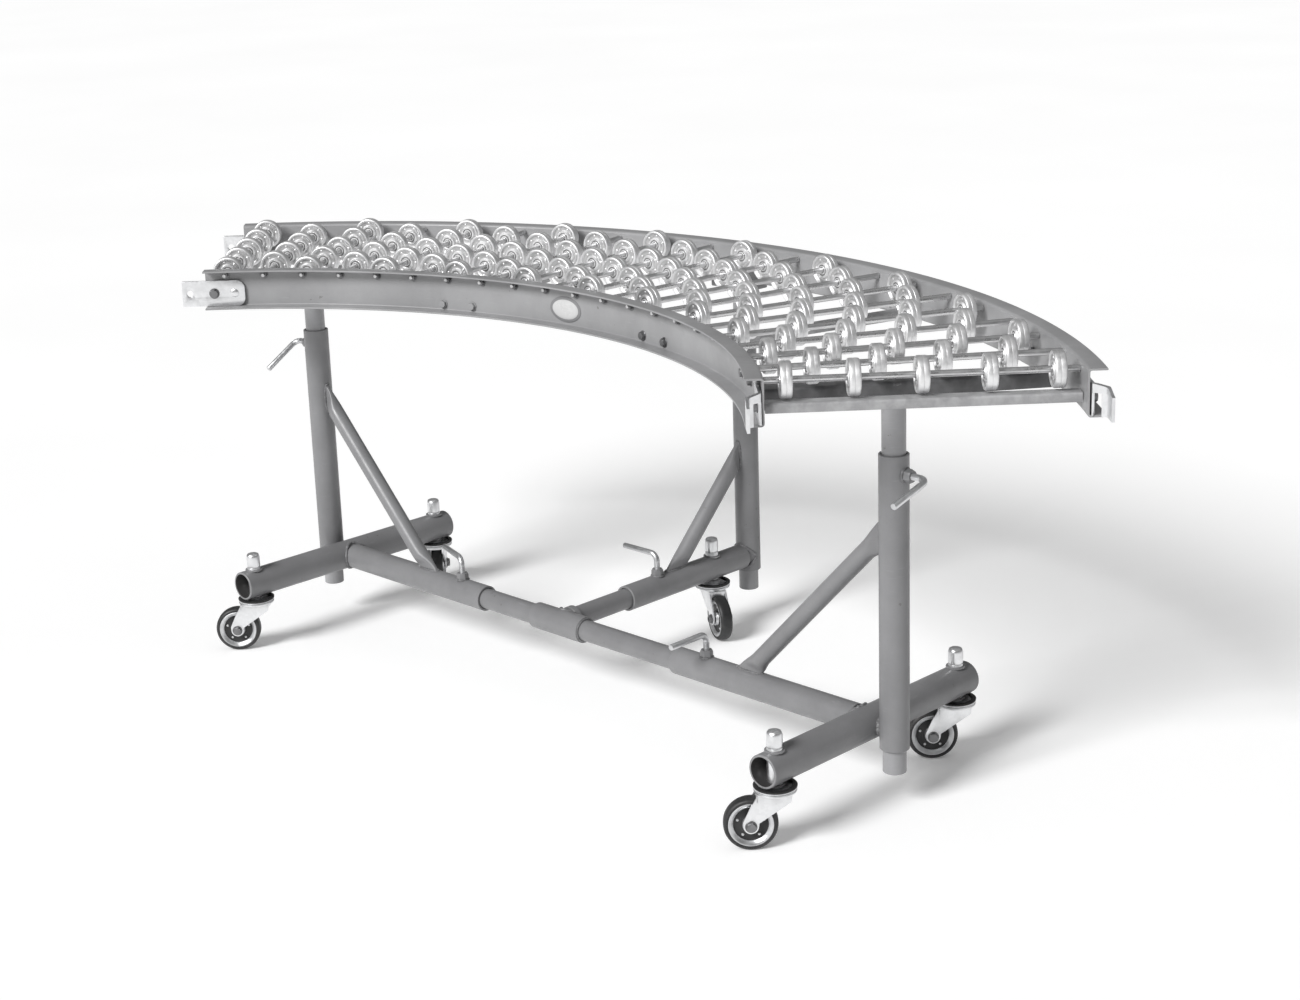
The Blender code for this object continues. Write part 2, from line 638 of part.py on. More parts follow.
def braces():
    low_z = BASE_HEIGHT + SLEEVE_RADIUS - BRACE_SINK
    for name, side in (("left_brace", -1), ("right_brace", 1)):
        low = (side * (SIDE_BRACE_FOOT - BRACE_SINK), BASE_LINE_Y, low_z)
        high = (side * (POST_X - SLEEVE_RADIUS + BRACE_SINK), BASE_LINE_Y, SIDE_BRACE_TOP + BRACE_SINK)
        start = Vector((side * ARM_END, BASE_LINE_Y, BASE_HEIGHT))
        stop = Vector((side * POST_X, BASE_LINE_Y, BASE_HEIGHT))
        brace(name, low, high, (start, stop), Vector((side * POST_X, BASE_LINE_Y, 0.0)))
    low = (MID_X, MID_BRACE_FOOT_Y - BRACE_SINK, low_z)
    high = (MID_X, MID_POST_Y - SLEEVE_RADIUS + BRACE_SINK, MID_BRACE_TOP + BRACE_SINK)
    start = Vector((MID_X, MID_ARM_START_Y, BASE_HEIGHT))
    stop = Vector((MID_X, MID_POST_Y, BASE_HEIGHT))
    brace("middle_brace", low, high, (start, stop), Vector((MID_X, MID_POST_Y, 0.0)))


def clamp_handle(name, on_axis, axis, reach_direction):
    """A bent rod: its screwed end bears on the inner tube and its long end is the lever."""
    curve = bpy.data.curves.new(name, "CURVE")
    curve.dimensions = "3D"
    curve.bevel_depth = HANDLE_RADIUS
    curve.bevel_resolution = 2
    curve.use_fill_caps = True
    height = SLEEVE_RADIUS + HANDLE_STANDOFF
    path = [(0.0, TUBE_RADIUS + 2 * GAP)]
    for step in range(HANDLE_BEND_STEPS + 1):
        turn = math.pi / 2 * step / HANDLE_BEND_STEPS
        path.append((HANDLE_BEND * (1 - math.cos(turn)), height - HANDLE_BEND * (1 - math.sin(turn))))
    path.append((HANDLE_REACH, height))
    spline = curve.splines.new("POLY")
    spline.points.add(len(path) - 1)
    for point, (x, z) in zip(spline.points, path):
        point.co = (x, 0.0, z, 1.0)
    obj = add_object(name, curve)
    obj.matrix_world = frame_matrix(on_axis, axis, reach_direction)
    return finish_part(obj, ZINC)


def clamp_handles():
    clamp_height = SLEEVE_TOP - POST_CLAMP_DROP
    left_lever = (0, -math.cos(LEFT_POST_DROOP), -math.sin(LEFT_POST_DROOP))
    right_lever = (0, -math.cos(RIGHT_POST_DROOP), -math.sin(RIGHT_POST_DROOP))
    clamp_handle("left_post_clamp_handle", (-POST_X, BASE_LINE_Y, clamp_height), (-1, 0, 0), left_lever)
    clamp_handle("right_post_clamp_handle", (POST_X, BASE_LINE_Y, clamp_height), (1, 0, 0), right_lever)
    clamp_handle("middle_post_clamp_handle", (MID_X, MID_POST_Y, clamp_height), (-1, 0, 0), right_lever)
    clamp_handle("left_arm_clamp_handle", (-SIDE_CLAMP_X, BASE_LINE_Y, BASE_HEIGHT), (0, 0, 1),
                 (-0.95, 0.31, 0))
    clamp_handle("right_arm_clamp_handle", (SIDE_CLAMP_X, BASE_LINE_Y, BASE_HEIGHT), (0, 0, 1), (0, -1, 0))
    clamp_handle("middle_arm_clamp_handle", (MID_X, MID_CLAMP_Y, BASE_HEIGHT), (0, 0, 1), (-1, 0, 0))


# ---------------------------------------------------------------- casters

def caster_fork(name, swivel, heading):
    """Stem, swivel race, bent fork and axle bolt in one piece; local X is the trailing side."""
    top = FORK_TOP - RACE_HEIGHT
    eye = FORK_EYE_RADIUS
    corner = FORK_EYE_CORNER
    under_race = top + FORK_GAUGE / 2
    outline = [(-FORK_FRONT, under_race), (FORK_BACK, under_race), (FORK_SHOULDER_OUT, FORK_SHOULDER_Z),
               (CASTER_TRAIL + eye, CASTER_AXLE_Z), (CASTER_TRAIL + corner, CASTER_AXLE_Z - corner),
               (CASTER_TRAIL, CASTER_AXLE_Z - eye), (CASTER_TRAIL - corner, CASTER_AXLE_Z - corner),
               (CASTER_TRAIL - eye, CASTER_AXLE_Z)]
    width = 2 * (FORK_INNER + FORK_GAUGE)
    cheeks = prism(name, outline, width)
    upright = Matrix.Rotation(math.pi / 2, 4, "X")
    turn = Matrix.Rotation(heading, 4, "Z")
    place = Matrix.Translation((swivel.x, swivel.y, 0.0)) @ turn
    cheeks.matrix_world = place @ upright
    slot_height = FORK_TOP
    slot_length = 2 * (CASTER_TRAIL + FORK_SHOULDER_OUT)
    slot = box(f"{name}_slot", (slot_length, 2 * FORK_INNER, slot_height), (0, 0, 0))
    slot.matrix_world = place @ Matrix.Translation((0, 0, top - FORK_GAUGE - slot_height / 2))
    race = rod(f"{name}_race", (swivel.x, swivel.y, top), (swivel.x, swivel.y, FORK_TOP), RACE_RADIUS, 20)
    stem = rod(f"{name}_stem", (swivel.x, swivel.y, top), (swivel.x, swivel.y, STEM_TOP), STEM_RADIUS, 12)
    across = turn @ Vector((0.0, width / 2 + OVERRUN, 0.0))
    hub = place @ Vector((CASTER_TRAIL, 0.0, CASTER_AXLE_Z))
    bolt = rod(f"{name}_bolt", hub - across, hub + across, BOLT_RADIUS, 10)
    boolean(cheeks, slot, "DIFFERENCE")
    return weldment(name, [cheeks, race, stem, bolt], [], ZINC)


def caster_wheel(name, swivel, heading):
    """A solid tyre and hub with a bore for the axle bolt."""
    half = CASTER_WIDTH / 2
    tread = CASTER_TREAD / 2
    shoulder = CASTER_RADIUS - CASTER_SHOULDER
    profile = [(CASTER_RADIUS, tread), (CASTER_RADIUS, -tread), (shoulder, -half), (CASTER_BORE, -half),
               (CASTER_BORE, half), (shoulder, half)]
    obj = turned(name, profile, CASTER_SEGMENTS, math.pi / CASTER_SEGMENTS)
    turn = Matrix.Rotation(heading, 4, "Z")
    place = Matrix.Translation((swivel.x, swivel.y, 0.0)) @ turn
    obj.matrix_world = place @ Matrix.Translation((CASTER_TRAIL, 0, CASTER_AXLE_Z)) @ Matrix.Rotation(
        math.pi / 2, 4, "X")
    return finish_part(obj, RUBBER)


def casters():
    places = (
        ("left_front", -FOOT_X, BASE_LINE_Y - CASTER_Y, 225.0),
        ("left_back", -FOOT_X, BASE_LINE_Y + CASTER_Y, 135.0),
        ("right_front", FOOT_X, BASE_LINE_Y - CASTER_Y, 225.0),
        ("right_back", FOOT_X, BASE_LINE_Y + CASTER_Y, 225.0),
        ("middle", MID_X, MID_CASTER_Y, -27.0),
    )
    for place, x, y, degrees in places:
        swivel = Vector((x, y, 0.0))
        heading = math.radians(degrees)
        caster_fork(f"{place}_caster_fork", swivel, heading)
        caster_wheel(f"{place}_caster_wheel", swivel, heading)


def place_origin():
    """Hang everything on one empty that centres the overall box over the origin."""
    pieces = [obj for obj in bpy.data.objects if obj.parent is None]
    origin = add_object("conveyor_origin", None)
    origin.location = (SIDE_SHIFT, 0.0, 0.0)
    for piece in pieces:
        piece.parent = origin


def main():
    clear_scene()
    rail("inner_rail", INNER_WEB, INSIDE_RADIUS)
    rail("outer_rail", OUTER_WEB, OUTSIDE_RADIUS)
    wheel_rows()
    cross_members()
    couplers()
    centre_tee()
    side_leg("left_leg_frame", -1)
    side_leg("right_leg_frame", 1)
    middle_leg("middle_leg_frame")
    posts()
    braces()
    clamp_handles()
    casters()
    place_origin()


main()
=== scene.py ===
"""Looks of the skate-wheel conveyor curve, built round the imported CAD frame. Units are metres."""

import math
import random

import bmesh
import bpy
from mathutils import Matrix, Vector


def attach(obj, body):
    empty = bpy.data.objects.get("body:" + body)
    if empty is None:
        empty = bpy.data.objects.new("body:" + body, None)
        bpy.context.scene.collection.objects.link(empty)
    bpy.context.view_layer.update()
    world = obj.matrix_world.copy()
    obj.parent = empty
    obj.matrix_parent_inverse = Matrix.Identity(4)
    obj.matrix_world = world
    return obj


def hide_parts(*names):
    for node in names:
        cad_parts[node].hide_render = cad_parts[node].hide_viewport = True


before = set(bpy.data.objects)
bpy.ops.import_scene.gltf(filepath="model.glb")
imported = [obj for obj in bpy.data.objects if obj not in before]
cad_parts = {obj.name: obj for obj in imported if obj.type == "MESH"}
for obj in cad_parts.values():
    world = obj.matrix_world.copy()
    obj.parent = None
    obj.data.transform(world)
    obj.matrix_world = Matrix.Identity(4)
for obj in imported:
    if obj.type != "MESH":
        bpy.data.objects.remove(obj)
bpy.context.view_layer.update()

MM = 0.001
RIGHT = Vector((1.0, 0.0, 0.0))
BACK = Vector((0.0, 1.0, 0.0))
UP = Vector((0.0, 0.0, 1.0))

# The CAD part's placing and sizes, in the same frame.
SHIFT_X = -6 * MM
BASE_Y = -94.8 * MM
CURVE_BACK = 823 * MM
CENTRE = Vector((SHIFT_X, BASE_Y - CURVE_BACK, 0.0))
INSIDE_R = 825.5 * MM
OUTSIDE_R = INSIDE_R + 457.2 * MM
FLANGE = 25.4 * MM
GAUGE = 2.7 * MM
INNER_WEB = INSIDE_R + FLANGE
OUTER_WEB = OUTSIDE_R - FLANGE
MID_R = (INSIDE_R + OUTSIDE_R) / 2
BED_TOP = 662 * MM
BED_LOW = BED_TOP - 63.5 * MM
HALF_ANGLE = math.radians(45.8)
ROWS = 21
ROW_HALF_ANGLE = math.radians(43.6)
AXLE_Z = BED_TOP - 10.5 * MM
LANE = 87.2 * MM
SPACER_R = 4.5 * MM
BASE_Z = 118 * MM
POST_X = 634 * MM
FOOT_X = 588.75 * MM
FOOT_HALF = 224 * MM
SLEEVE_R, SLEEVE_IN = 21.1 * MM, 17.55 * MM
TUBE_R, TUBE_IN = 16.7 * MM, 13.3 * MM
FOOT_R, FOOT_IN = 24.15 * MM, 20.45 * MM
SLEEVE_TOP = 517 * MM
SLEEVE_LOW = 92 * MM
POST_LOW = 57 * MM
ARM_END = 218 * MM
SLIDE_REACH = 112 * MM
MID_X = -40 * MM
MID_POST_Y = BASE_Y + 444 * MM
MID_ARM_Y = BASE_Y + 145 * MM
MID_CASTER_Y = BASE_Y + 352 * MM
CLAMP_Z = SLEEVE_TOP - 27 * MM
CLAMP_X = 278 * MM
MID_CLAMP_Y = BASE_Y + 220 * MM
CASTER_Y = 199 * MM
BRACE_R = 13.35 * MM
BRACE_FLAT_WIDE, BRACE_FLAT_THIN = 1.25, 0.34
BRACE_FLAT, BRACE_TAPER = 8 * MM, 26 * MM
BRACE_STATIONS = [z * MM for z in (0, 4, 9, 14, 20, 26, 32, 40, 50)]
BRACE_SINK = 1.2 * MM
SIDE_BRACE_FOOT, SIDE_BRACE_TOP = 365.3 * MM, 397.3 * MM
MID_BRACE_FOOT, MID_BRACE_TOP = 263.8 * MM, 300 * MM
FORK_TOP = 91 * MM
STEM_TOP = 171 * MM
END_CROSS_LIFT = 14 * MM
COUPLER_IN, COUPLER_OUT = 64 * MM, 39 * MM
COUPLER_HALF = 21 * MM
COUPLER_GAUGE = 4 * MM
HOOK_JOG = 17.5 * MM
TRAIL = 34 * MM
HUB_Z = 37.63 * MM
SHELF_GAUGE = 8 * MM
# Bolts through a rail's web: angle in degrees, height over the rail's bottom, and whether they are bare.
WEB_BOLTS = ((-18.2, 12.5 * MM, False), (-14.5, 12.5 * MM, False), (10.6, 12.5 * MM, True),
             (14.5, 12.5 * MM, True), (34.0, 30 * MM, True), (37.3, 30 * MM, True))


# ---- mesh building

class Shape:
    """A mesh in the making: points, faces and, for each face, the number of its material."""

    def __init__(self):
        self.points = []
        self.faces = []
        self.slots = []

    def loft(self, rings, slot=0, loop=False, caps=True):
        """Join closed rings of points one to the next, and the last to the first in a loop."""
        start = len(self.points)
        count = len(rings[0])
        for ring in rings:
            self.points += [tuple(p) for p in ring]
        for i in range(len(rings) if loop else len(rings) - 1):
            a = start + i * count
            b = start + ((i + 1) % len(rings)) * count
            for j in range(count):
                k = (j + 1) % count
                self.faces.append((a + j, a + k, b + k, b + j))
                self.slots.append(slot)
        if caps and not loop:
            last = start + (len(rings) - 1) * count
            self.faces.append(tuple(range(start + count - 1, start - 1, -1)))
            self.faces.append(tuple(range(last, last + count)))
            self.slots += [slot, slot]

    def revolve(self, profile, place, segments, slot=0, closed=False):
        """Turn a profile of (radius, height) points about local Z."""
        rings = [[place @ Vector((x, y, z)) for x, y in circle(r, segments)] for r, z in profile]
        self.loft(rings, slot, loop=closed, caps=False)

    def add(self, other, matrix=None):
        start = len(self.points)
        for p in other.points:
            self.points.append(tuple(matrix @ Vector(p)) if matrix else p)
        self.faces += [tuple(i + start for i in face) for face in other.faces]
        self.slots += other.slots

    def make(self, name, materials, body, nodes, sharp=38.0):
        """Turn the shape into a piece that rides on a body and replaces CAD nodes."""
        mesh = bpy.data.meshes.new(name)
        mesh.from_pydata(self.points, [], self.faces)
        mesh.polygons.foreach_set("material_index", self.slots)
        for finish in materials:
            mesh.materials.append(finish)
        bm = bmesh.new()
        bm.from_mesh(mesh)
        bmesh.ops.remove_doubles(bm, verts=bm.verts, dist=0.004 * MM)
        bmesh.ops.recalc_face_normals(bm, faces=bm.faces)
        bm.to_mesh(mesh)
        bm.free()
        mesh.shade_smooth()
        mesh.set_sharp_from_angle(angle=math.radians(sharp))
        obj = new_object(name, mesh)
        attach(obj, body)
        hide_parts(*nodes)


def new_object(name, data):
    obj = bpy.data.objects.new(name, data)
    bpy.context.scene.collection.objects.link(obj)
    return obj


def circle(radius, count, x=0.0):
    """Points of a circle about (x, 0), as pairs."""
    turns = [math.tau * s / count for s in range(count)]
    return [(x + radius * math.cos(t), radius * math.sin(t)) for t in turns]


def ring_points(centre, u, v, radius, count):
    """Points of a circle in the plane of two directions."""
    return [centre + u * x + v * y for x, y in circle(radius, count)]


def rectangle(x0, y0, x1, y1):
    return [(x0, y0), (x1, y0), (x1, y1), (x0, y1)]


def in_mm(profile):
    return [(r * MM, z * MM) for r, z in profile]


def frame_of(origin, axis, side=UP):
    """A matrix with local Z along the axis and local X as near to side as it can be."""
    z = Vector(axis).normalized()
    guess = Vector(side)
    if abs(guess.normalized().dot(z)) > 0.99:
        guess = RIGHT
    x = (guess - z * guess.dot(z)).normalized()
    y = z.cross(x)
    return Matrix.Translation(Vector(origin)) @ Matrix((x, y, z)).transposed().to_4x4()


def pipe(shape, start, end, outer, inner, slot, segments, edge=0.6 * MM, bore_slot=None):
    """An open pipe with slightly broken edges."""
    length = (end - start).length
    place = frame_of(start, end - start)
    lip = inner + edge / 2
    wall = [(lip, 0), (outer - edge, 0), (outer, edge), (outer, length - edge), (outer - edge, length),
            (lip, length)]
    shape.revolve(wall, place, segments, slot)
    bore = [(lip, length), (inner, length - edge), (inner, edge), (lip, 0)]
    shape.revolve(bore, place, segments, slot if bore_slot is None else bore_slot)


def disc_stack(shape, profile, origin, axis, slot, segments):
    """A turned piece that stands at a point, along an axis."""
    shape.revolve(profile, frame_of(origin, axis), segments, slot)


def hex_ring(flat, limit, z, place):
    """Points round a hexagon whose corners are cut at a limit radius."""
    ring = []
    for s in range(36):
        a = math.tau * s / 36
        r = min(flat / 2 / math.cos((a + math.pi / 6) % (math.pi / 3) - math.pi / 6), limit)
        ring.append(place @ Vector((r * math.cos(a), r * math.sin(a), z)))
    return ring


def hexagon(shape, origin, axis, flat, height, slot, hole=0.0, washer=0.0, turn=0.0):
    """A chamfered hexagon: a bolt head, or a nut when it has a hole; with an optional washer."""
    place = frame_of(origin, axis) @ Matrix.Rotation(turn, 4, "Z")
    base = 0.0
    if washer:
        base = 1.2 * MM
        rim = 0.3 * MM
        disc = [(0.0, base), (washer - rim, base), (washer, base - rim), (washer, 0.0)]
        shape.revolve(disc, place, 28, slot)
    corner = flat / 2 / math.cos(math.pi / 6)
    rings = [hex_ring(flat, corner, base, place), hex_ring(flat, corner, base + height * 0.78, place),
             hex_ring(flat, flat / 2 * 0.97, base + height, place)]
    if hole:
        # with no flats to stop it, a ring at the limit is a circle
        rings.append(hex_ring(math.inf, hole, base + height, place))
        rings.append(hex_ring(math.inf, hole * 0.92, base + height * 0.2, place))
    shape.loft(rings, slot)


def thread(shape, origin, axis, start, end, radius, pitch, slot):
    """Screw ridges along an axis, shown as close rings."""
    profile = [(0.0, start)]
    z = start
    while z < end:
        profile += [(radius - pitch * 0.28, z), (radius, z + pitch * 0.4), (radius, z + pitch * 0.55)]
        z += pitch
    profile += [(radius - pitch * 0.4, end), (0.0, end)]
    shape.revolve(profile, frame_of(origin, axis), 12, slot)


def bead(shape, points, radius, seed):
    """A weld bead round a closed line of points, with a hand weld's ripples; its material is number 1."""
    rng = random.Random(seed)
    rings = []
    for i, p in enumerate(points):
        place = frame_of(p, points[(i + 1) % len(points)] - points[i - 1], (0.31, 0.17, 0.93))
        r = radius * (1.0 + 0.16 * math.sin(i * 2.1) + 0.08 * rng.uniform(-1, 1))
        rings.append([place @ Vector((x, y, 0.0)) for x, y in circle(r, 9)])
    shape.loft(rings, 1, loop=True)


def saddle_points(centre, length_axis, side_axis, normal, a, b, radius):
    """Points of an oval of half-sizes a and b that lies on a pipe of the given radius."""
    points = []
    for c, q in circle(1.0, 72):
        side = b * q
        lift = math.sqrt(max(radius * radius - side * side, 0.0))
        points.append(centre + length_axis * (a * c) + side_axis * side + normal * lift)
    return points


def fillet(outline, radii, steps=6):
    """Round the corners of a 2D outline, all alike or each with its own radius."""
    count = len(outline)
    if not isinstance(radii, list):
        radii = [radii] * count
    made = []
    for i, (x, y) in enumerate(outline):
        p = Vector((x, y))
        a = Vector(outline[i - 1]) - p
        b = Vector(outline[(i + 1) % count]) - p
        r = radii[i]
        if r <= 0.0:
            made.append((x, y))
            continue
        angle = a.angle(b)
        cut = min(r / math.tan(angle / 2), a.length * 0.499, b.length * 0.499)
        r = cut * math.tan(angle / 2)
        middle = p + (a.normalized() + b.normalized()).normalized() * (r / math.sin(angle / 2))
        first = p + a.normalized() * cut - middle
        last = p + b.normalized() * cut - middle
        turn = first.angle_signed(last)
        for s in range(steps + 1):
            q = middle + Matrix.Rotation(-turn * s / steps, 2) @ first
            made.append((q.x, q.y))
    return made


def plate(outline, holes, depth, edge, place):
    """A flat plate with holes and broken edges, as a Shape; depth is along local Z from 0."""
    curve = bpy.data.curves.new("plate", "CURVE")
    curve.dimensions = "2D"
    curve.fill_mode = "BOTH"
    curve.extrude = depth / 2 - edge
    curve.bevel_depth = edge
    curve.bevel_resolution = 1
    curve.offset = -edge
    for loop in [outline] + holes:
        spline = curve.splines.new("POLY")
        spline.points.add(len(loop) - 1)
        for point, (x, y) in zip(spline.points, loop):
            point.co = (x, y, 0.0, 1.0)
        spline.use_cyclic_u = True
    guide = new_object("plate", curve)
    graph = bpy.context.evaluated_depsgraph_get()
    mesh = bpy.data.meshes.new_from_object(guide.evaluated_get(graph))
    shape = Shape()
    lift = Matrix.Translation((0, 0, depth / 2))
    shape.points = [tuple(place @ lift @ v.co) for v in mesh.vertices]
    shape.faces = [tuple(p.vertices) for p in mesh.polygons]
    shape.slots = [0] * len(shape.faces)
    bpy.data.objects.remove(guide)
    bpy.data.meshes.remove(mesh)
    bpy.data.curves.remove(curve)
    return shape


def sweep(shape, path, radii):
    """A round rod along a path of points, with a radius for each."""
    rings = []
    side = Vector((0.23, 0.41, 0.88))
    for i, (p, radius) in enumerate(zip(path, radii)):
        before = path[max(i - 1, 0)]
        after = path[min(i + 1, len(path) - 1)]
        place = frame_of(p, after - before, side)
        side = place.to_3x3() @ RIGHT
        rings.append([place @ Vector((x, y, 0.0)) for x, y in circle(radius, 18)])
    shape.loft(rings)


def stand_point(x, y, z):
    """A point of the stand, with x measured from the middle of its long base."""
    return Vector((SHIFT_X + x, y, z))


def bed_point(radius, angle, z):
    """A point at a radius and an angle about the curve's centre."""
    return CENTRE + Vector((radius * math.sin(angle), radius * math.cos(angle), z))


def outward(angle):
    return Vector((math.sin(angle), math.cos(angle), 0.0))


def along(angle):
    return Vector((math.cos(angle), -math.sin(angle), 0.0))


def row_angle(row):
    return -ROW_HALF_ANGLE + 2 * ROW_HALF_ANGLE * row / (ROWS - 1)


def title_of(name):
    return "".join(word.capitalize() for word in name.split("_"))


# ---- materials

class Nodes:
    """Short helpers for writing a node material."""

    def __init__(self, name):
        self.material = bpy.data.materials.new(name)
        self.material.use_nodes = True
        self.tree = self.material.node_tree
        self.shader = self.tree.nodes["Principled BSDF"]
        self.where = self.new("ShaderNodeTexCoord").outputs["Object"]

    def new(self, kind, **values):
        node = self.tree.nodes.new(kind)
        for key, value in values.items():
            setattr(node, key, value)
        return node

    def link(self, a, b):
        self.tree.links.new(a, b)

    def stretched(self, scale, rotation=(0.0, 0.0, 0.0)):
        node = self.new("ShaderNodeMapping")
        node.inputs["Scale"].default_value = scale
        node.inputs["Rotation"].default_value = rotation
        self.link(self.where, node.inputs["Vector"])
        return node.outputs["Vector"]

    def noise(self, scale, detail=3.0, rough=0.55, vector=None):
        node = self.new("ShaderNodeTexNoise")
        node.inputs["Scale"].default_value = scale
        node.inputs["Detail"].default_value = detail
        node.inputs["Roughness"].default_value = rough
        self.link(vector if vector is not None else self.where, node.inputs["Vector"])
        return node.outputs["Fac"]

    def cells(self, scale):
        node = self.new("ShaderNodeTexVoronoi")
        node.inputs["Scale"].default_value = scale
        self.link(self.where, node.inputs["Vector"])
        return node.outputs["Color"]

    def span(self, value, low, high, to_low=0.0, to_high=1.0):
        node = self.new("ShaderNodeMapRange")
        for key, number in (("From Min", low), ("From Max", high), ("To Min", to_low), ("To Max", to_high)):
            node.inputs[key].default_value = number
        self.link(value, node.inputs["Value"])
        return node.outputs["Result"]

    def maths(self, operation, a, b):
        node = self.new("ShaderNodeMath", operation=operation)
        for socket, value in zip(node.inputs, (a, b)):
            if isinstance(value, (int, float)):
                socket.default_value = value
            else:
                self.link(value, socket)
        return node.outputs[0]

    def mix(self, factor, a, b):
        node = self.new("ShaderNodeMix", data_type="RGBA")
        self.link(factor, node.inputs[0])
        for socket, value in ((node.inputs[6], a), (node.inputs[7], b)):
            if isinstance(value, tuple):
                socket.default_value = (*value, 1.0)
            else:
                self.link(value, socket)
        return node.outputs[2]

    def edges(self, low, high):
        return self.span(self.new("ShaderNodeNewGeometry").outputs["Pointiness"], low, high)

    def bump(self, height, strength, distance, under=None):
        node = self.new("ShaderNodeBump")
        node.inputs["Strength"].default_value = strength
        node.inputs["Distance"].default_value = distance
        self.link(height, node.inputs["Height"])
        if under is not None:
            self.link(under, node.inputs["Normal"])
        return node.outputs["Normal"]

    def finish(self, colour=None, rough=None, metal=None, normal=None, **constants):
        for key, value in (("Base Color", colour), ("Roughness", rough), ("Metallic", metal),
                           ("Normal", normal)):
            if value is None:
                continue
            if isinstance(value, (int, float)):
                self.shader.inputs[key].default_value = value
            else:
                self.link(value, self.shader.inputs[key])
        for key, value in constants.items():
            self.shader.inputs[key.replace("_", " ")].default_value = value
        return self.material


def shade(colour, factor, more=0.0):
    return tuple(min(c * factor + more, 1.0) for c in colour)


def enamel(name, colour, chips, rough=0.42):
    """Sprayed machine enamel: orange peel, tone drift, scuffs, rubbed edges and a few chips."""
    n = Nodes(name)
    drift = n.mix(n.span(n.noise(7.0, 5.0, 0.62), 0.32, 0.68), shade(colour, 0.86), shade(colour, 1.10))
    smear = n.span(n.noise(1.0, 5.0, 0.65, n.stretched((16.0, 16.0, 5.0))), 0.50, 0.72, 0.0, 0.22)
    drift = n.mix(smear, drift, shade(colour, 0.66))
    speck = n.span(n.noise(420.0, 2.0), 0.62, 0.74, 0.0, 0.16)
    tone = n.mix(speck, drift, shade(colour, 0.62))
    scuff_at = n.stretched((30.0, 30.0, 260.0), (0.35, 0.2, 0.1))
    scuff = n.span(n.noise(1.0, 5.0, 0.6, scuff_at), 0.62, 0.74)
    tone = n.mix(n.maths("MULTIPLY", scuff, 0.22), tone, shade(colour, 1.6))
    rub = n.maths("MULTIPLY", n.edges(0.575, 0.64), n.span(n.noise(55.0, 4.0), 0.40, 0.62))
    tone = n.mix(n.maths("MULTIPLY", rub, 0.8), tone, shade(colour, 1.9, 0.05))
    chip = n.maths("MULTIPLY", n.span(n.noise(95.0, 3.0), 0.70, 0.715), n.span(n.noise(9.0, 2.0), 0.52, 0.60))
    chip = n.maths("MULTIPLY", chip, chips)
    tone = n.mix(chip, tone, (0.10, 0.095, 0.09))
    normal = n.bump(n.noise(900.0, 2.0), 0.22, 0.00008)
    normal = n.bump(chip, -0.6, 0.00012, normal)
    wet = n.span(n.noise(38.0, 4.0), 0.3, 0.7, rough - 0.08, rough + 0.12)
    wet = n.maths("ADD", wet, n.maths("MULTIPLY", scuff, 0.15))
    return n.finish(tone, wet, 0.0, normal, Specular_IOR_Level=0.5, Coat_Weight=0.12, Coat_Roughness=0.25)


def plated(name, colour, rough, grime, streak=(600.0, 600.0, 40.0), hollow_shade=0.75):
    """Bright zinc plate: faint spangle, fine drawn lines, dull patches, and painted shade that darkens the
    hollows.
    """
    n = Nodes(name)
    cell = n.new("ShaderNodeSeparateColor")
    n.link(n.cells(190.0), cell.inputs["Color"])
    spangle = cell.outputs[0]
    tone = n.mix(spangle, shade(colour, 0.93), colour)
    dull = n.span(n.noise(30.0, 5.0, 0.6), 0.46, 0.66)
    tone = n.mix(n.maths("MULTIPLY", dull, grime), tone, shade(colour, 0.55))
    # painted shade: concave places are darkened towards near black, standing in for the shade that falls in
    # hollows and dishes
    hollow = n.maths("SUBTRACT", 1.0, n.edges(0.42, 0.49))
    tone = n.mix(n.maths("MULTIPLY", hollow, hollow_shade), tone, (0.09, 0.088, 0.085))
    normal = n.bump(n.noise(1.0, 3.0, 0.6, n.stretched(streak)), 0.10, 0.00006)
    normal = n.bump(n.noise(260.0, 3.0), 0.10, 0.00010, normal)
    wet = n.span(spangle, 0.0, 1.0, rough - 0.04, rough + 0.05)
    wet = n.maths("ADD", wet, n.maths("MULTIPLY", dull, 0.16))
    return n.finish(tone, wet, 1.0, normal)


def weld_metal(name, colour):
    """Painted weld bead: the enamel's colour, a little darker, with coarse ripples."""
    n = Nodes(name)
    tone = n.mix(n.span(n.noise(140.0, 3.0), 0.35, 0.65), shade(colour, 0.62), colour)
    normal = n.bump(n.noise(420.0, 3.0), 0.5, 0.0004)
    return n.finish(tone, n.span(n.noise(90.0, 3.0), 0.3, 0.7, 0.38, 0.6), 0.1, normal)


def rubber(name, colour, dust):
    """Moulded rubber tyre: fine grain, scuffed tread and floor dust."""
    n = Nodes(name)
    tone = n.mix(n.span(n.noise(60.0, 4.0), 0.35, 0.7), colour, shade(colour, 2.1))
    film = n.maths("MULTIPLY", n.span(n.noise(24.0, 5.0, 0.65), 0.50, 0.70), dust)
    tone = n.mix(film, tone, (0.16, 0.155, 0.15))
    normal = n.bump(n.noise(1100.0, 2.0), 0.35, 0.00008)
    normal = n.bump(n.noise(160.0, 4.0, 0.7), 0.20, 0.0003, normal)
    return n.finish(tone, n.span(n.noise(45.0, 4.0), 0.3, 0.7, 0.36, 0.62), 0.0, normal)


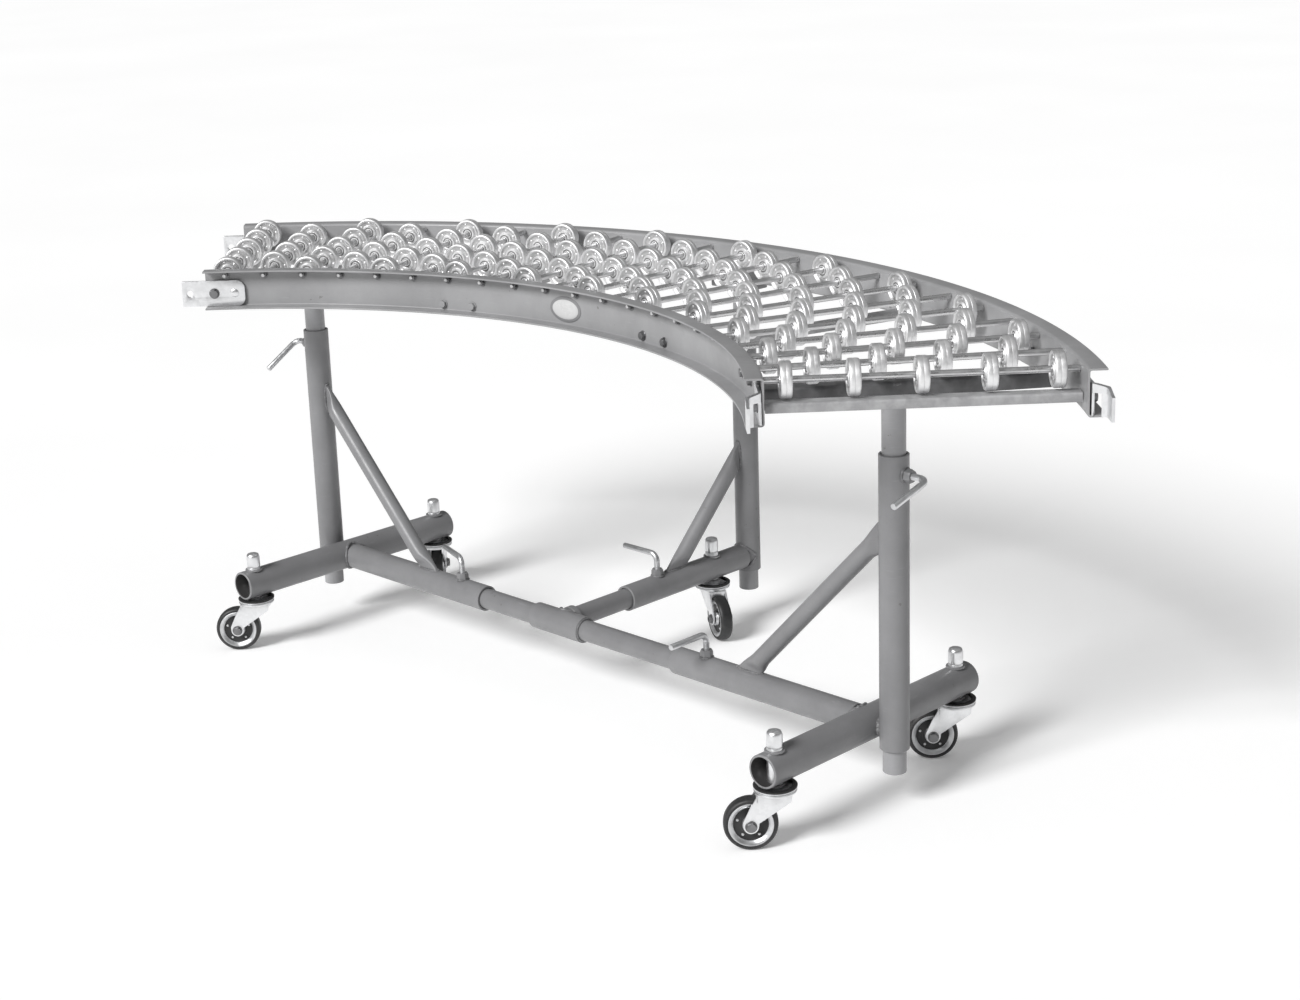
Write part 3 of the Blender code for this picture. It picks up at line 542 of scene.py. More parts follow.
RAIL_TONE = (0.285, 0.285, 0.29)
STAND_TONE = (0.20, 0.20, 0.205)
RAIL_PAINT = enamel("rail_enamel", RAIL_TONE, 0.55)
STAND_PAINT = enamel("stand_enamel", STAND_TONE, 0.6)
# painted shade: a near-black copy of the enamel for the saddle channels, standing in for the shade under the
# bed
SADDLE_SHADE_PAINT = enamel("saddle_painted_shade", (0.055, 0.055, 0.057), 0.4)
CROSS_PAINT = enamel("cross_enamel", shade(RAIL_TONE, 0.95), 0.5)
HANDLE_ZINC = plated("handle_zinc", (0.70, 0.705, 0.715), 0.34, 0.35)
SLIDE_PAINT = enamel("slide_enamel", shade(STAND_TONE, 0.94), 0.7, 0.36)
POST_PAINT = enamel("post_enamel", shade(STAND_TONE, 1.4), 0.7, 0.36)
BORE_PAINT = enamel("bore_dark", (0.022, 0.021, 0.021), 0.2, 0.7)
WELD = weld_metal("weld_bead", STAND_TONE)
ZINC = plated("zinc_plate", (0.86, 0.865, 0.875), 0.32, 0.22)
# the last number is the painted shade in the wheel's dished hollows, almost black
WHEEL_ZINC = plated("wheel_zinc", (0.88, 0.88, 0.885), 0.48, 0.25, (500.0, 500.0, 500.0), 0.97)
AXLE_STEEL = plated("axle_steel", (0.67, 0.67, 0.675), 0.28, 0.3, (60.0, 60.0, 900.0))
BOLT_STEEL = plated("bolt_steel", (0.25, 0.25, 0.255), 0.40, 0.5)
TYRE = rubber("tyre_rubber", (0.012, 0.012, 0.0125), 0.22)
DUST_RING = rubber("dust_ring", (0.010, 0.010, 0.0105), 0.1)
BADGE = enamel("badge_blank", (0.52, 0.52, 0.52), 0.0, 0.30)


# ---- bed

def rail_section(web, edge):
    """The rail's rolled C section, as (radius, height) points with bend radii."""
    side = math.copysign(GAUGE, edge - web)
    low, high = BED_LOW + GAUGE, BED_TOP - GAUGE
    outline = [(web, BED_LOW), (edge, BED_LOW), (edge, low), (web + side, low),
               (web + side, high), (edge, high), (edge, BED_TOP), (web, BED_TOP)]
    radii = [4.6 * MM, 0.8 * MM, 0.8 * MM, 2.2 * MM, 2.2 * MM, 0.8 * MM, 0.8 * MM, 4.6 * MM]
    return fillet(outline, radii, 5)


def rail(name, node, web, edge, side):
    """A curved rail with the bolts through its web and a pressed collar round each axle."""
    shape = Shape()
    section = rail_section(web, edge)
    steps = 132
    rings = []
    for s in range(steps + 1):
        angle = -HALF_ANGLE + 2 * HALF_ANGLE * s / steps
        rings.append([bed_point(r, angle, z) for r, z in section])
    shape.loft(rings)
    back = web + math.copysign(GAUGE, edge - web)
    for degrees, lift, bare in WEB_BOLTS:
        angle = math.radians(degrees)
        slot = 1 if bare else 0
        out = outward(angle) * side
        head, tail = bed_point(back, angle, BED_LOW + lift), bed_point(web, angle, BED_LOW + lift)
        hexagon(shape, head, out, 11 * MM, 4.4 * MM, slot, washer=7.6 * MM, turn=degrees)
        thread(shape, tail, -out, -0.5 * MM, 5 * MM, 3 * MM, 1.2 * MM, slot)
    collar = in_mm([(4.2, -0.2), (7.0, -0.2), (7.2, 0.5), (6.9, 0.9), (4.3, 0.9)])
    for row in range(ROWS):
        angle = row_angle(row)
        disc_stack(shape, collar, bed_point(back, angle, AXLE_Z), outward(angle) * side, 1, 22)
    if name == "Rail.Inner":
        badge(shape, back)
    shape.make(name, [RAIL_PAINT, BOLT_STEEL, BADGE, STAND_PAINT], "bed", [node])


def badge(shape, back):
    """A blank oval plate on the web, slightly domed, on a wider dark one that shows as its rim."""
    middle = math.radians(-1.6)
    height = BED_LOW + 26.5 * MM
    levels = ((1.0, 0.0), (1.0, 0.7), (0.965, 1.15), (0.80, 1.25), (0.4, 1.45), (0.0, 1.5))
    for half_w, half_h, lift, slot in ((33.0, 20.0, 0.0, 3), (28.0, 15.6, 0.35, 2)):
        rings = []
        for share, rise in levels:
            radius = back - (rise + lift) * MM
            rings.append([bed_point(radius, middle + half_w * MM * c / back, height + half_h * MM * q)
                          for c, q in circle(share, 48)])
        shape.loft(rings, slot, caps=False)


def skate_wheel():
    """One skate wheel about local Z: two pressed shells, dished sides, a hub and rivets."""
    shape = Shape()
    half = [(24.15, 0), (24.5, 0.35), (24.6, 0.9), (24.6, 5), (24.3, 6.5), (23.5, 7.5), (22.4, 7.9),
            (21.3, 7.7), (20.6, 6.9), (19.9, 5.6), (18.6, 4.7), (15.6, 4.3), (13.4, 4.5), (12.5, 5.3),
            (12, 6.6), (11.3, 7.4), (9.9, 7.6), (8.9, 7.2), (8.6, 6.5), (7.2, 6.5), (6.9, 7.3), (6.6, 7.9),
            (5, 7.9)]
    shape.revolve(in_mm(half[::-1] + [(r, -z) for r, z in half[1:]]), Matrix.Identity(4), 40)
    dome = in_mm([(1.9, 0), (1.7, 0.6), (1, 1), (0, 1.15)])
    for side, first in ((-1, 0.0), (1, 0.3)):
        for k in range(6):
            a = math.tau * k / 6 + first
            at = Vector((16.6 * MM * math.cos(a), 16.6 * MM * math.sin(a), side * 4.25 * MM))
            disc_stack(shape, dome, at, UP * side, 0, 10)
    return shape


def wheel_row(number, angle, wheel):
    """An axle with its nuts, its skate wheels and the spacer tubes between them, each turned its own way."""
    count = 5 if number % 2 == 1 else 4
    shape = Shape()
    origin = bed_point(MID_R, angle, AXLE_Z)
    place = frame_of(origin, outward(angle)) @ Matrix.Rotation(number * 0.37, 4, "Z")
    reach = (OUTER_WEB - INNER_WEB) / 2
    centres = [LANE * ((count - 1) / 2 - k) for k in range(count)]
    for k, middle in enumerate(centres):
        shape.add(wheel, place @ Matrix.Translation(UP * middle) @ Matrix.Rotation(k * 0.61, 4, "Z"))
    clear, hub = 0.6 * MM, 8 * MM
    stops = [reach - clear] + [z for c in centres for z in (c + hub, c - hub)] + [-reach + clear]
    bore, edge = 3.3 * MM, 0.5 * MM
    for high, low in zip(stops[::2], stops[1::2]):
        tube = [(bore, low), (SPACER_R - edge, low), (SPACER_R, low + edge), (SPACER_R, high - edge),
                (SPACER_R - edge, high), (bore, high)]
        shape.revolve(tube, place, 18, 1)
    end, rod, tip, bevel = reach + GAUGE + 8.6 * MM, 3.1 * MM, 2.5 * MM, 0.7 * MM
    shape.revolve([(0.0, -end), (tip, -end), (rod, -end + bevel), (rod, end - bevel), (tip, end), (0.0, end)],
                  place, 16, 1)
    for side in (-1, 1):
        seat = origin + outward(angle) * side * (reach + GAUGE + 1 * MM)
        hexagon(shape, seat, outward(angle) * side, 10 * MM, 4.6 * MM, 2, 3.2 * MM, turn=number * 0.9)
    name = f"WheelRow.{number:02d}"
    node = f"wheel_row_{number:02d}"
    shape.make(name, [WHEEL_ZINC, AXLE_STEEL, BOLT_STEEL], node, [node], 32.0)


def open_channel(width, height, gauge, bend):
    """A channel's section, open side down, with bends of one radius at its top corners."""
    half = width / 2
    inside, roof = half - gauge, height - gauge
    outline = [(-half, 0), (-inside, 0), (-inside, roof), (inside, roof), (inside, 0), (half, 0),
               (half, height), (-half, height)]
    radii = [0.5 * MM, 0.5 * MM, 1.2 * MM, 1.2 * MM, 0.5 * MM, 0.5 * MM, bend, bend]
    return fillet(outline, radii, 4)


def bed_channel(shape, angle, width, height, gauge, bend, slot=0, lift=0.0):
    """A channel across the bed, open side down, between the two webs, with a tab in each end."""
    half = (OUTER_WEB - INNER_WEB) / 2 - 1.2 * MM
    middle = bed_point(MID_R, angle, BED_LOW + lift)
    run, out = along(angle), outward(angle)

    def across(outline, first, last):
        shape.loft([[middle + out * y + run * x + UP * z for x, z in outline] for y in (first, last)], slot)

    across(open_channel(width, height, gauge, bend), -half, half)
    inside = width / 2 - gauge
    tab = fillet(rectangle(-inside, 0.6 * MM, inside, height - gauge), 1 * MM, 2)
    for end in (-1, 1):
        face = half - 0.5 * MM
        across(tab, end * face, end * (face - 2.6 * MM))


def cross_members():
    for name, degrees in (("left_end_cross_member", -44.1), ("left_cross_member", -16.3),
                          ("right_cross_member", 16.3), ("right_end_cross_member", 44.1)):
        shape = Shape()
        lift = END_CROSS_LIFT if "end" in name else 0.0
        bed_channel(shape, math.radians(degrees), 25.4 * MM, 12.7 * MM, 3 * MM, 3.4 * MM, 0, lift)
        shape.make(title_of(name), [CROSS_PAINT], "bed", [name])


def hook_strap(shape, place, top):
    """A strap with a jog, as a hook: a slot open at the bottom is cut in the slanted part."""
    start, slant = Vector((2 * MM, 0.0)), Vector((12 * MM, HOOK_JOG))
    through = Vector((-slant.y, slant.x)).normalized() * 4.3 * MM
    near, far = start + slant * 0.08, start + slant * 0.62
    root = [(-COUPLER_IN, 0.0), start]
    root_back = [(-0.5 * MM, COUPLER_GAUGE), (-COUPLER_IN, COUPLER_GAUGE)]
    outer = HOOK_JOG + COUPLER_GAUGE
    tip = [start + slant, (COUPLER_OUT, HOOK_JOG), (COUPLER_OUT, outer), (11.5 * MM, outer)]
    bridge_low = COUPLER_HALF - 12 * MM
    crisp, edge, soft, inner_bend, outer_bend = 0.4 * MM, 0.5 * MM, 2 * MM, 4 * MM, 8 * MM

    def block(outline, radii, low, high):
        """A length of strap between two heights; the bridge over the slot falls towards the tip."""
        def level(x, z):
            return top * (z - (max(x - start.x, 0.0) * 0.28 if z > bridge_low else 0.0))
        outline = fillet(outline, radii, 4)
        shape.loft([[place @ Vector((x, y, level(x, z))) for x, y in outline] for z in (low, high)])

    block(root + tip + root_back, [edge, inner_bend, outer_bend, edge] * 2, bridge_low, COUPLER_HALF)
    block(root + [near, near + through] + root_back, [edge, soft, crisp, crisp, soft, edge],
          -COUPLER_HALF, bridge_low)
    block([far + through, far] + tip, [crisp, crisp, soft, edge, edge, inner_bend],
          -COUPLER_HALF, bridge_low)


def coupler(name, node, back, side, end):
    """A strap bolted in the rail's hollow: flat on the left end, or with a jog that makes a hook."""
    angle = end * (HALF_ANGLE - COUPLER_IN / 2 / back)
    run = along(angle) * end
    away = outward(angle) * side
    low = BED_LOW + GAUGE + 0.4 * MM
    origin = bed_point(back, angle, low + COUPLER_HALF) + run * (COUPLER_IN / 2) + away * 1.6 * MM
    shape = Shape()
    if end > 0:
        place = Matrix.Translation(origin) @ Matrix((run, away, run.cross(away))).transposed().to_4x4()
        hook_strap(shape, place, side * end)
    else:
        place = Matrix.Translation(origin) @ Matrix((run, UP * end * side, away)).transposed().to_4x4()
        outline = fillet(rectangle(-COUPLER_IN, -COUPLER_HALF, COUPLER_OUT, COUPLER_HALF),
                         [13 * MM, 1.5 * MM, 1.5 * MM, 13 * MM], 8)
        hole = circle(5.5 * MM, 28, COUPLER_OUT - 13 * MM)
        shape.add(plate(outline, [hole], COUPLER_GAUGE, 0.5 * MM, place))
    bolt, rivet = (origin - run * inset + away * COUPLER_GAUGE for inset in (14 * MM, 47 * MM))
    hexagon(shape, bolt, away, 12.7 * MM, 5.2 * MM, 1, washer=8.5 * MM, turn=0.4)
    disc_stack(shape, in_mm([(7, 0), (6.6, 1.2), (4.4, 2.2), (0, 2.6)]), rivet, away, 0, 28)
    shape.make(name, [ZINC, BOLT_STEEL], "bed", [node])


def couplers():
    """Flat straps on the left end of both rails and hooks on the right end."""
    for kind, end in (("plate", -1), ("hook", 1)):
        for place, back, side in (("inner", INNER_WEB - GAUGE, -1), ("outer", OUTER_WEB + GAUGE, 1)):
            title = "Coupling." + title_of(f"{place}_{kind}")
            coupler(title, f"{place}_coupling_{kind}", back, side, end)


# ---- stand

def clamp_nut(shape, on_axis, direction, seed):
    """The nut that a clamp screw runs in, welded on a sleeve or an arm."""
    seat = on_axis + direction * (SLEEVE_R - 2 * MM)
    hexagon(shape, seat, direction, 17.2 * MM, 13 * MM, 0, 5 * MM, turn=0.3)
    side = direction.orthogonal().normalized()
    seam = on_axis + direction * (SLEEVE_R - 0.6 * MM)
    bead(shape, ring_points(seam, side, direction.cross(side), 9.6 * MM, 40), 1.9 * MM, seed)


def stem_rings(shape, centre, reach, wide):
    """Raised rings where a caster's stem passes through the top and the bottom of a tube."""
    ring = in_mm([(11.4, 0.0), (wide, 0.0), (wide - 0.2, 1.9), (wide - 1.0, 2.5), (11.9, 2.5), (11.4, 1.9)])
    for up in (-1, 1):
        shape.revolve(ring, frame_of(centre + UP * (up * reach), UP * up), 32, 0, closed=True)


def sleeve(shape, start, end):
    pipe(shape, start, end, SLEEVE_R, SLEEVE_IN, 0, 48, bore_slot=2)


def side_leg(name, node, side):
    """A sleeve, a foot tube and an arm, welded together."""
    shape = Shape()
    inward = RIGHT * -side
    post = stand_point(side * POST_X, BASE_Y, 0.0)
    foot = stand_point(side * FOOT_X, BASE_Y, BASE_Z)
    sleeve(shape, post + UP * SLEEVE_LOW, post + UP * SLEEVE_TOP)
    pipe(shape, foot - BACK * FOOT_HALF, foot + BACK * FOOT_HALF, FOOT_R, FOOT_IN, 0, 48, 0.8 * MM, 2)
    sleeve(shape, foot + inward * (FOOT_R - 3 * MM), stand_point(side * ARM_END, BASE_Y, BASE_Z))
    oval = SLEEVE_R + 0.6 * MM
    bead(shape, saddle_points(foot, BACK, UP, inward, oval, oval, FOOT_R), 3 * MM, 11 + side)
    touch = foot - inward * FOOT_R
    ring = []
    for y, z in circle(11.5 * MM, 48):
        gap = (SLEEVE_R - math.sqrt(SLEEVE_R ** 2 - y * y)) - (FOOT_R - math.sqrt(FOOT_R ** 2 - z * z))
        ring.append(touch + Vector((side * 0.5 * gap, y, z)))
    bead(shape, ring, 3.6 * MM, 21 + side)
    disc_stack(shape, in_mm([(0.0, 4.0), (9.5, 3.5), (9.5, -3.5), (0.0, -4.0)]), touch, inward, 1, 24)
    clamp_nut(shape, post + UP * CLAMP_Z, RIGHT * side, 31 + side)
    clamp_nut(shape, stand_point(side * CLAMP_X, BASE_Y, BASE_Z), UP, 41 + side)
    for end in (-1, 1):
        stem_rings(shape, foot + BACK * (end * CASTER_Y), FOOT_R - 1.2 * MM, 14.4)
    shape.make(name, [STAND_PAINT, WELD, BORE_PAINT], "base", [node])


def middle_leg():
    """The middle sleeve and the arm that runs from it to the centre tee."""
    shape = Shape()
    post = stand_point(MID_X, MID_POST_Y, 0.0)
    sleeve(shape, post + UP * SLEEVE_LOW, post + UP * SLEEVE_TOP)
    arm_end = stand_point(MID_X, MID_POST_Y - SLEEVE_R + 3 * MM, BASE_Z)
    sleeve(shape, stand_point(MID_X, MID_ARM_Y, BASE_Z), arm_end)
    oval = SLEEVE_R - 0.2 * MM
    bead(shape, saddle_points(post + UP * BASE_Z, UP, RIGHT, -BACK, oval, oval, SLEEVE_R), 2.8 * MM, 51)
    clamp_nut(shape, post + UP * CLAMP_Z, -RIGHT, 52)
    clamp_nut(shape, stand_point(MID_X, MID_CLAMP_Y, BASE_Z), UP, 53)
    stem_rings(shape, stand_point(MID_X, MID_CASTER_Y, BASE_Z), SLEEVE_R - 1.4 * MM, 14.2)
    shape.make("Leg.Middle", [STAND_PAINT, WELD, BORE_PAINT], "base", ["middle_leg_frame"])


def centre_tee():
    """The welded tee and the three tubes on which the arms slide."""
    shape = Shape()
    tee = stand_point(MID_X, BASE_Y, BASE_Z)
    half = 55 * MM
    reach = ARM_END + SLIDE_REACH
    middle = stand_point(0.0, BASE_Y, BASE_Z)
    pipe(shape, tee - RIGHT * half, tee + RIGHT * half, SLEEVE_R, SLEEVE_IN, 0, 48)
    pipe(shape, middle - RIGHT * reach, middle + RIGHT * reach, TUBE_R, TUBE_IN, 2, 40)
    collar_from, collar_to = tee + BACK * (SLEEVE_R - 3 * MM), tee + BACK * (SLEEVE_R + 8 * MM)
    pipe(shape, collar_from, collar_to, SLEEVE_R - 0.4 * MM, SLEEVE_IN, 0, 44)
    slide_from, slide_to = tee + BACK * (SLEEVE_R - 2 * MM), Vector((tee.x, MID_ARM_Y + SLIDE_REACH, BASE_Z))
    pipe(shape, slide_from, slide_to, TUBE_R, TUBE_IN, 2, 40)
    oval = SLEEVE_R - 0.2 * MM
    bead(shape, saddle_points(tee, RIGHT, UP, BACK, oval, oval, SLEEVE_R), 2.8 * MM, 61)
    for end in (-1, 1):
        ring = ring_points(tee + RIGHT * (end * (half + 0.2 * MM)), BACK, UP, 17.9 * MM, 64)
        bead(shape, ring, 1.7 * MM, 63 + end)
    shape.make("CentreTee", [STAND_PAINT, WELD, SLIDE_PAINT], "base", ["centre_tee"])


def inner_post(shape, base, top, seam, seed):
    """A sliding post with a weld round its top end."""
    pipe(shape, base + UP * POST_LOW, base + UP * top, TUBE_R, TUBE_IN, 2, 44, bore_slot=3)
    bead(shape, ring_points(base + UP * seam, RIGHT, BACK, 17.6 * MM, 64), 2.2 * MM, seed)


def side_post(name, node, side):
    """A sliding post with a saddle channel across the bed on its top."""
    shape = Shape()
    angle = math.atan2(side * POST_X, CURVE_BACK)
    # the saddle channel takes slot 4, the near-black enamel that is painted shade
    bed_channel(shape, angle, 38.1 * MM, 22 * MM, 4 * MM, 4.5 * MM, 4)
    base = stand_point(side * POST_X, BASE_Y, 0.0)
    inner_post(shape, base, BED_LOW + 18.5 * MM, BED_LOW + 17.6 * MM, 71 + side)
    shape.make(name, [STAND_PAINT, WELD, POST_PAINT, BORE_PAINT, SADDLE_SHADE_PAINT], "bed", [node])


def middle_post():
    """A sliding post with a small shelf that is bolted under the outer rail."""
    shape = Shape()
    base = stand_point(MID_X, MID_POST_Y, 0.0)
    low = BED_LOW - 0.3 * MM - SHELF_GAUGE
    wide, deep = 45 * MM, 23 * MM
    outline = fillet(rectangle(-wide, -deep, wide, deep), 6 * MM)
    place = Matrix.Translation(base + Vector((0, -8 * MM, low)))
    shape.add(plate(outline, [], SHELF_GAUGE, 0.6 * MM, place))
    for x in (-32 * MM, 32 * MM):
        hexagon(shape, base + Vector((x, -12 * MM, low)), -UP, 11 * MM, 5 * MM, 4, washer=8 * MM)
    inner_post(shape, base, low + 1 * MM, low - 0.4 * MM, 75)
    finishes = [STAND_PAINT, WELD, POST_PAINT, BORE_PAINT, BOLT_STEEL]
    shape.make("Post.Middle", finishes, "bed", ["middle_inner_post"])


def cope(point, direction, centre, axis, radius):
    """How far along a direction a line leaves the pipe about an axis."""
    offset = point - centre
    across = offset - axis * offset.dot(axis)
    step = direction - axis * direction.dot(axis)
    square, half = step.dot(step), across.dot(step)
    gap = across.dot(across) - radius * radius
    return (-half + math.sqrt(max(half * half - square * gap, 0.0))) / square


def brace_end(start, run, axes, centre, axis):
    """Sections of one brace end: flat at its tip, then round, and coped to the pipe that it meets."""
    rings = []
    for near in BRACE_STATIONS:
        t = min(max((near - BRACE_FLAT) / BRACE_TAPER, 0.0), 1.0)
        t = t * t * (3 - 2 * t)
        power = 2 / (2.0 + 1.6 * (1 - t))
        wide = BRACE_R * (BRACE_FLAT_WIDE + (1 - BRACE_FLAT_WIDE) * t)
        thin = BRACE_R * (BRACE_FLAT_THIN + (1 - BRACE_FLAT_THIN) * t)
        fade = 1.0 - near / BRACE_STATIONS[-1]
        ring = []
        for c, q in circle(1.0, 40):
            foot = start + axes[0] * (math.copysign(abs(c) ** power, c) * wide) \
                + axes[1] * (math.copysign(abs(q) ** power, q) * thin)
            ring.append(foot + run * (near + fade * cope(foot, run, centre, axis, SLEEVE_R - BRACE_SINK)))
        rings.append(ring)
    return rings


def brace(name, node, low, high, arm, post):
    """A pipe brace whose ends are pressed flat in its own plane, between an arm and a sleeve."""
    shape = Shape()
    direction = (high - low).normalized()
    turned = frame_of(low, direction).to_3x3()
    axes = turned @ RIGHT, turned @ BACK
    for seed, start, (centre, axis) in ((81, low, arm), (82, high, post)):
        half = BRACE_R * BRACE_FLAT_WIDE / abs(direction.cross(axis).length) + 0.6 * MM
        seat = centre + axis * (start - centre).dot(axis)
        oval = saddle_points(seat, axis, axes[1], (start - seat).normalized(), half,
                             BRACE_R * BRACE_FLAT_THIN + 0.8 * MM, SLEEVE_R)
        bead(shape, oval, 2.3 * MM, seed)
    shape.loft(brace_end(low, direction, axes, *arm) + brace_end(high, -direction, axes, *post)[::-1])
    shape.make(name, [STAND_PAINT, WELD], "base", [node])


def braces():
    arm_top = BASE_Z + SLEEVE_R
    for name, node, side in (("Brace.Left", "left_brace", -1), ("Brace.Right", "right_brace", 1)):
        low = stand_point(side * SIDE_BRACE_FOOT, BASE_Y, arm_top)
        high = stand_point(side * (POST_X - SLEEVE_R), BASE_Y, SIDE_BRACE_TOP)
        post = stand_point(side * POST_X, BASE_Y, high.z)
        brace(name, node, low, high, (low - UP * SLEEVE_R, RIGHT), (post, UP))
    low = stand_point(MID_X, BASE_Y + MID_BRACE_FOOT, arm_top)
    high = stand_point(MID_X, MID_POST_Y - SLEEVE_R, MID_BRACE_TOP)
    post = high + BACK * SLEEVE_R
    brace("Brace.Middle", "middle_brace", low, high, (low - UP * SLEEVE_R, BACK), (post, UP))


def clamp_handle(name, node, on_axis, axis, lever):
    """A bent rod: the screwed end bears on the inner tube and the long end is the lever."""
    shape = Shape()
    place = frame_of(on_axis, axis, lever)
    height, bend, reach = SLEEVE_R + 36 * MM, 13 * MM, 76 * MM
    rod, root, pitch = 4.75 * MM, 4.15 * MM, 1.5 * MM
    path = []
    radii = []
    z = TUBE_R + 0.8 * MM
    while z < SLEEVE_R + 24 * MM:
        path += [(0.0, z + rise * MM) for rise in (0.0, 0.55, 0.75, 1.3)]
        radii += [root, rod, rod, root]
        z += pitch
    path.append((0.0, z + 0.4 * MM))
    radii.append(rod)
    for step in range(11):
        turn = math.pi / 2 * step / 10
        path.append((bend * (1 - math.cos(turn)), height - bend * (1 - math.sin(turn))))
        radii.append(rod)
    path += [(reach - 1.2 * MM, height), (reach - 0.3 * MM, height), (reach, height)]
    radii += [rod, 4.2 * MM, 3.2 * MM]
    sweep(shape, [place @ Vector((x, 0.0, z)) for x, z in path], radii)
    shape.make(name, [HANDLE_ZINC], node, [node])


def clamp_handles():
    """Three handles on the sleeves, whose levers droop towards the front, and three on the base arms."""
    def droop(degrees):
        a = math.radians(degrees)
        return (0, -math.cos(a), -math.sin(a))

    for place, on_axis, axis, lever in (
            ("left_post", stand_point(-POST_X, BASE_Y, CLAMP_Z), -RIGHT, droop(32.0)),
            ("right_post", stand_point(POST_X, BASE_Y, CLAMP_Z), RIGHT, droop(15.0)),
            ("middle_post", stand_point(MID_X, MID_POST_Y, CLAMP_Z), -RIGHT, droop(15.0)),
            ("left_arm", stand_point(-CLAMP_X, BASE_Y, BASE_Z), UP, (-0.95, 0.31, 0)),
            ("right_arm", stand_point(CLAMP_X, BASE_Y, BASE_Z), UP, (0, -1, 0)),
            ("middle_arm", stand_point(MID_X, MID_CLAMP_Y, BASE_Z), UP, (-1, 0, 0))):
        clamp_handle("Clamp." + title_of(place), place + "_clamp_handle", on_axis, axis, lever)


# ---- casters

def caster_fork(place_name, swivel, heading):
    """Two cheeks and a crown under a swivel race, with the stem over it and the axle bolt below."""
    shape = Shape()
    place = Matrix.Translation(swivel) @ Matrix.Rotation(heading, 4, "Z")
    top = FORK_TOP - 8 * MM
    gauge = 3 * MM
    inner = 12.4 * MM
    eye = 10.5 * MM
    # cheeks, seen from the side: local X is the trailing side and local Z is up
    outline = [(-22 * MM, top - 1 * MM), (-21 * MM, top - 11 * MM), (TRAIL - eye, HUB_Z + 4 * MM)]
    for s in range(13):
        a = math.pi + math.pi * s / 12
        outline.append((TRAIL + eye * math.cos(a), HUB_Z + eye * math.sin(a)))
    outline += [(TRAIL + eye + 0.5 * MM, HUB_Z + 6 * MM), (36 * MM, 63 * MM), (25 * MM, top - 1 * MM)]
    outline = fillet(outline, [0, 5 * MM, 14 * MM] + [0] * 13 + [8 * MM, 8 * MM, 0], 5)
    for side in (-1, 1):
        upright = Matrix(((1, 0, 0, 0), (0, 0, side, side * inner), (0, 1, 0, 0), (0, 0, 0, 1)))
        shape.add(plate(outline, [], gauge, 0.5 * MM, place @ upright))
    half = inner + gauge
    crown = fillet(rectangle(-24 * MM, -half, 25 * MM, half), [9 * MM, 3 * MM, 3 * MM, 9 * MM], 6)
    shape.add(plate(crown, [], gauge, 0.6 * MM, place @ Matrix.Translation(UP * (top - gauge + 0.4 * MM))))
    lip = fillet(rectangle(24 * MM, -half, 26.5 * MM, half), 0.8 * MM, 3)
    shape.add(plate(lip, [], 10 * MM, 0.5 * MM, place @ Matrix.Translation(UP * (top - 11 * MM))))
    swivel_race(shape, swivel)
    across = Matrix.Rotation(heading, 3, "Z") @ BACK
    hub = place @ Vector((TRAIL, 0, HUB_Z))
    shank, end = 3.9 * MM, half + 3 * MM
    disc_stack(shape, [(0.0, -end), (shank, -end), (shank, end), (0.0, end)], hub, across, 1, 20)
    hexagon(shape, hub + across * half, across, 12.7 * MM, 3.9 * MM, 1, washer=8.4 * MM, turn=0.2)
    hexagon(shape, hub - across * half, -across, 12.7 * MM, 3.9 * MM, 1, 4 * MM, washer=8.4 * MM, turn=0.5)
    node = f"{place_name}_caster_fork"
    title = "CasterFork." + title_of(place_name)
    shape.make(title, [ZINC, BOLT_STEEL, DUST_RING], node, [node])


def swivel_race(shape, swivel):
    """The swivel race with its ball groove, the black dust ring and the stem, about the swivel axis."""
    race = [(0, -8.4), (24, -8.4), (27.5, -8), (29.2, -6.8), (29.6, -5.4), (28.6, -4.4), (27.4, -4.1),
            (27.4, -3.4), (28.8, -3.1), (29.9, -2.2), (29.7, -1.1), (28, -0.4), (18, -0.1), (0, -0.1)]
    ring = [(23, -0.5), (29.3, -0.7), (30.2, 0), (30.3, 1.2), (29.2, 2), (24, 2.3)]
    stem = [(11, -81), (11, -25.5), (10.7, -24.8), (10.1, -24.5), (10.1, -23), (11, -22.5),
            (11.1, -21.6), (11.1, -7), (10.6, -4), (9.2, -1.6), (6.2, -0.4), (0, 0)]
    for profile, z, segments, slot in ((race, FORK_TOP, 56, 0), (ring, FORK_TOP, 56, 2),
                                       (stem, STEM_TOP, 40, 0)):
        shape.revolve(in_mm(profile), Matrix.Translation(swivel + UP * z), segments, slot)


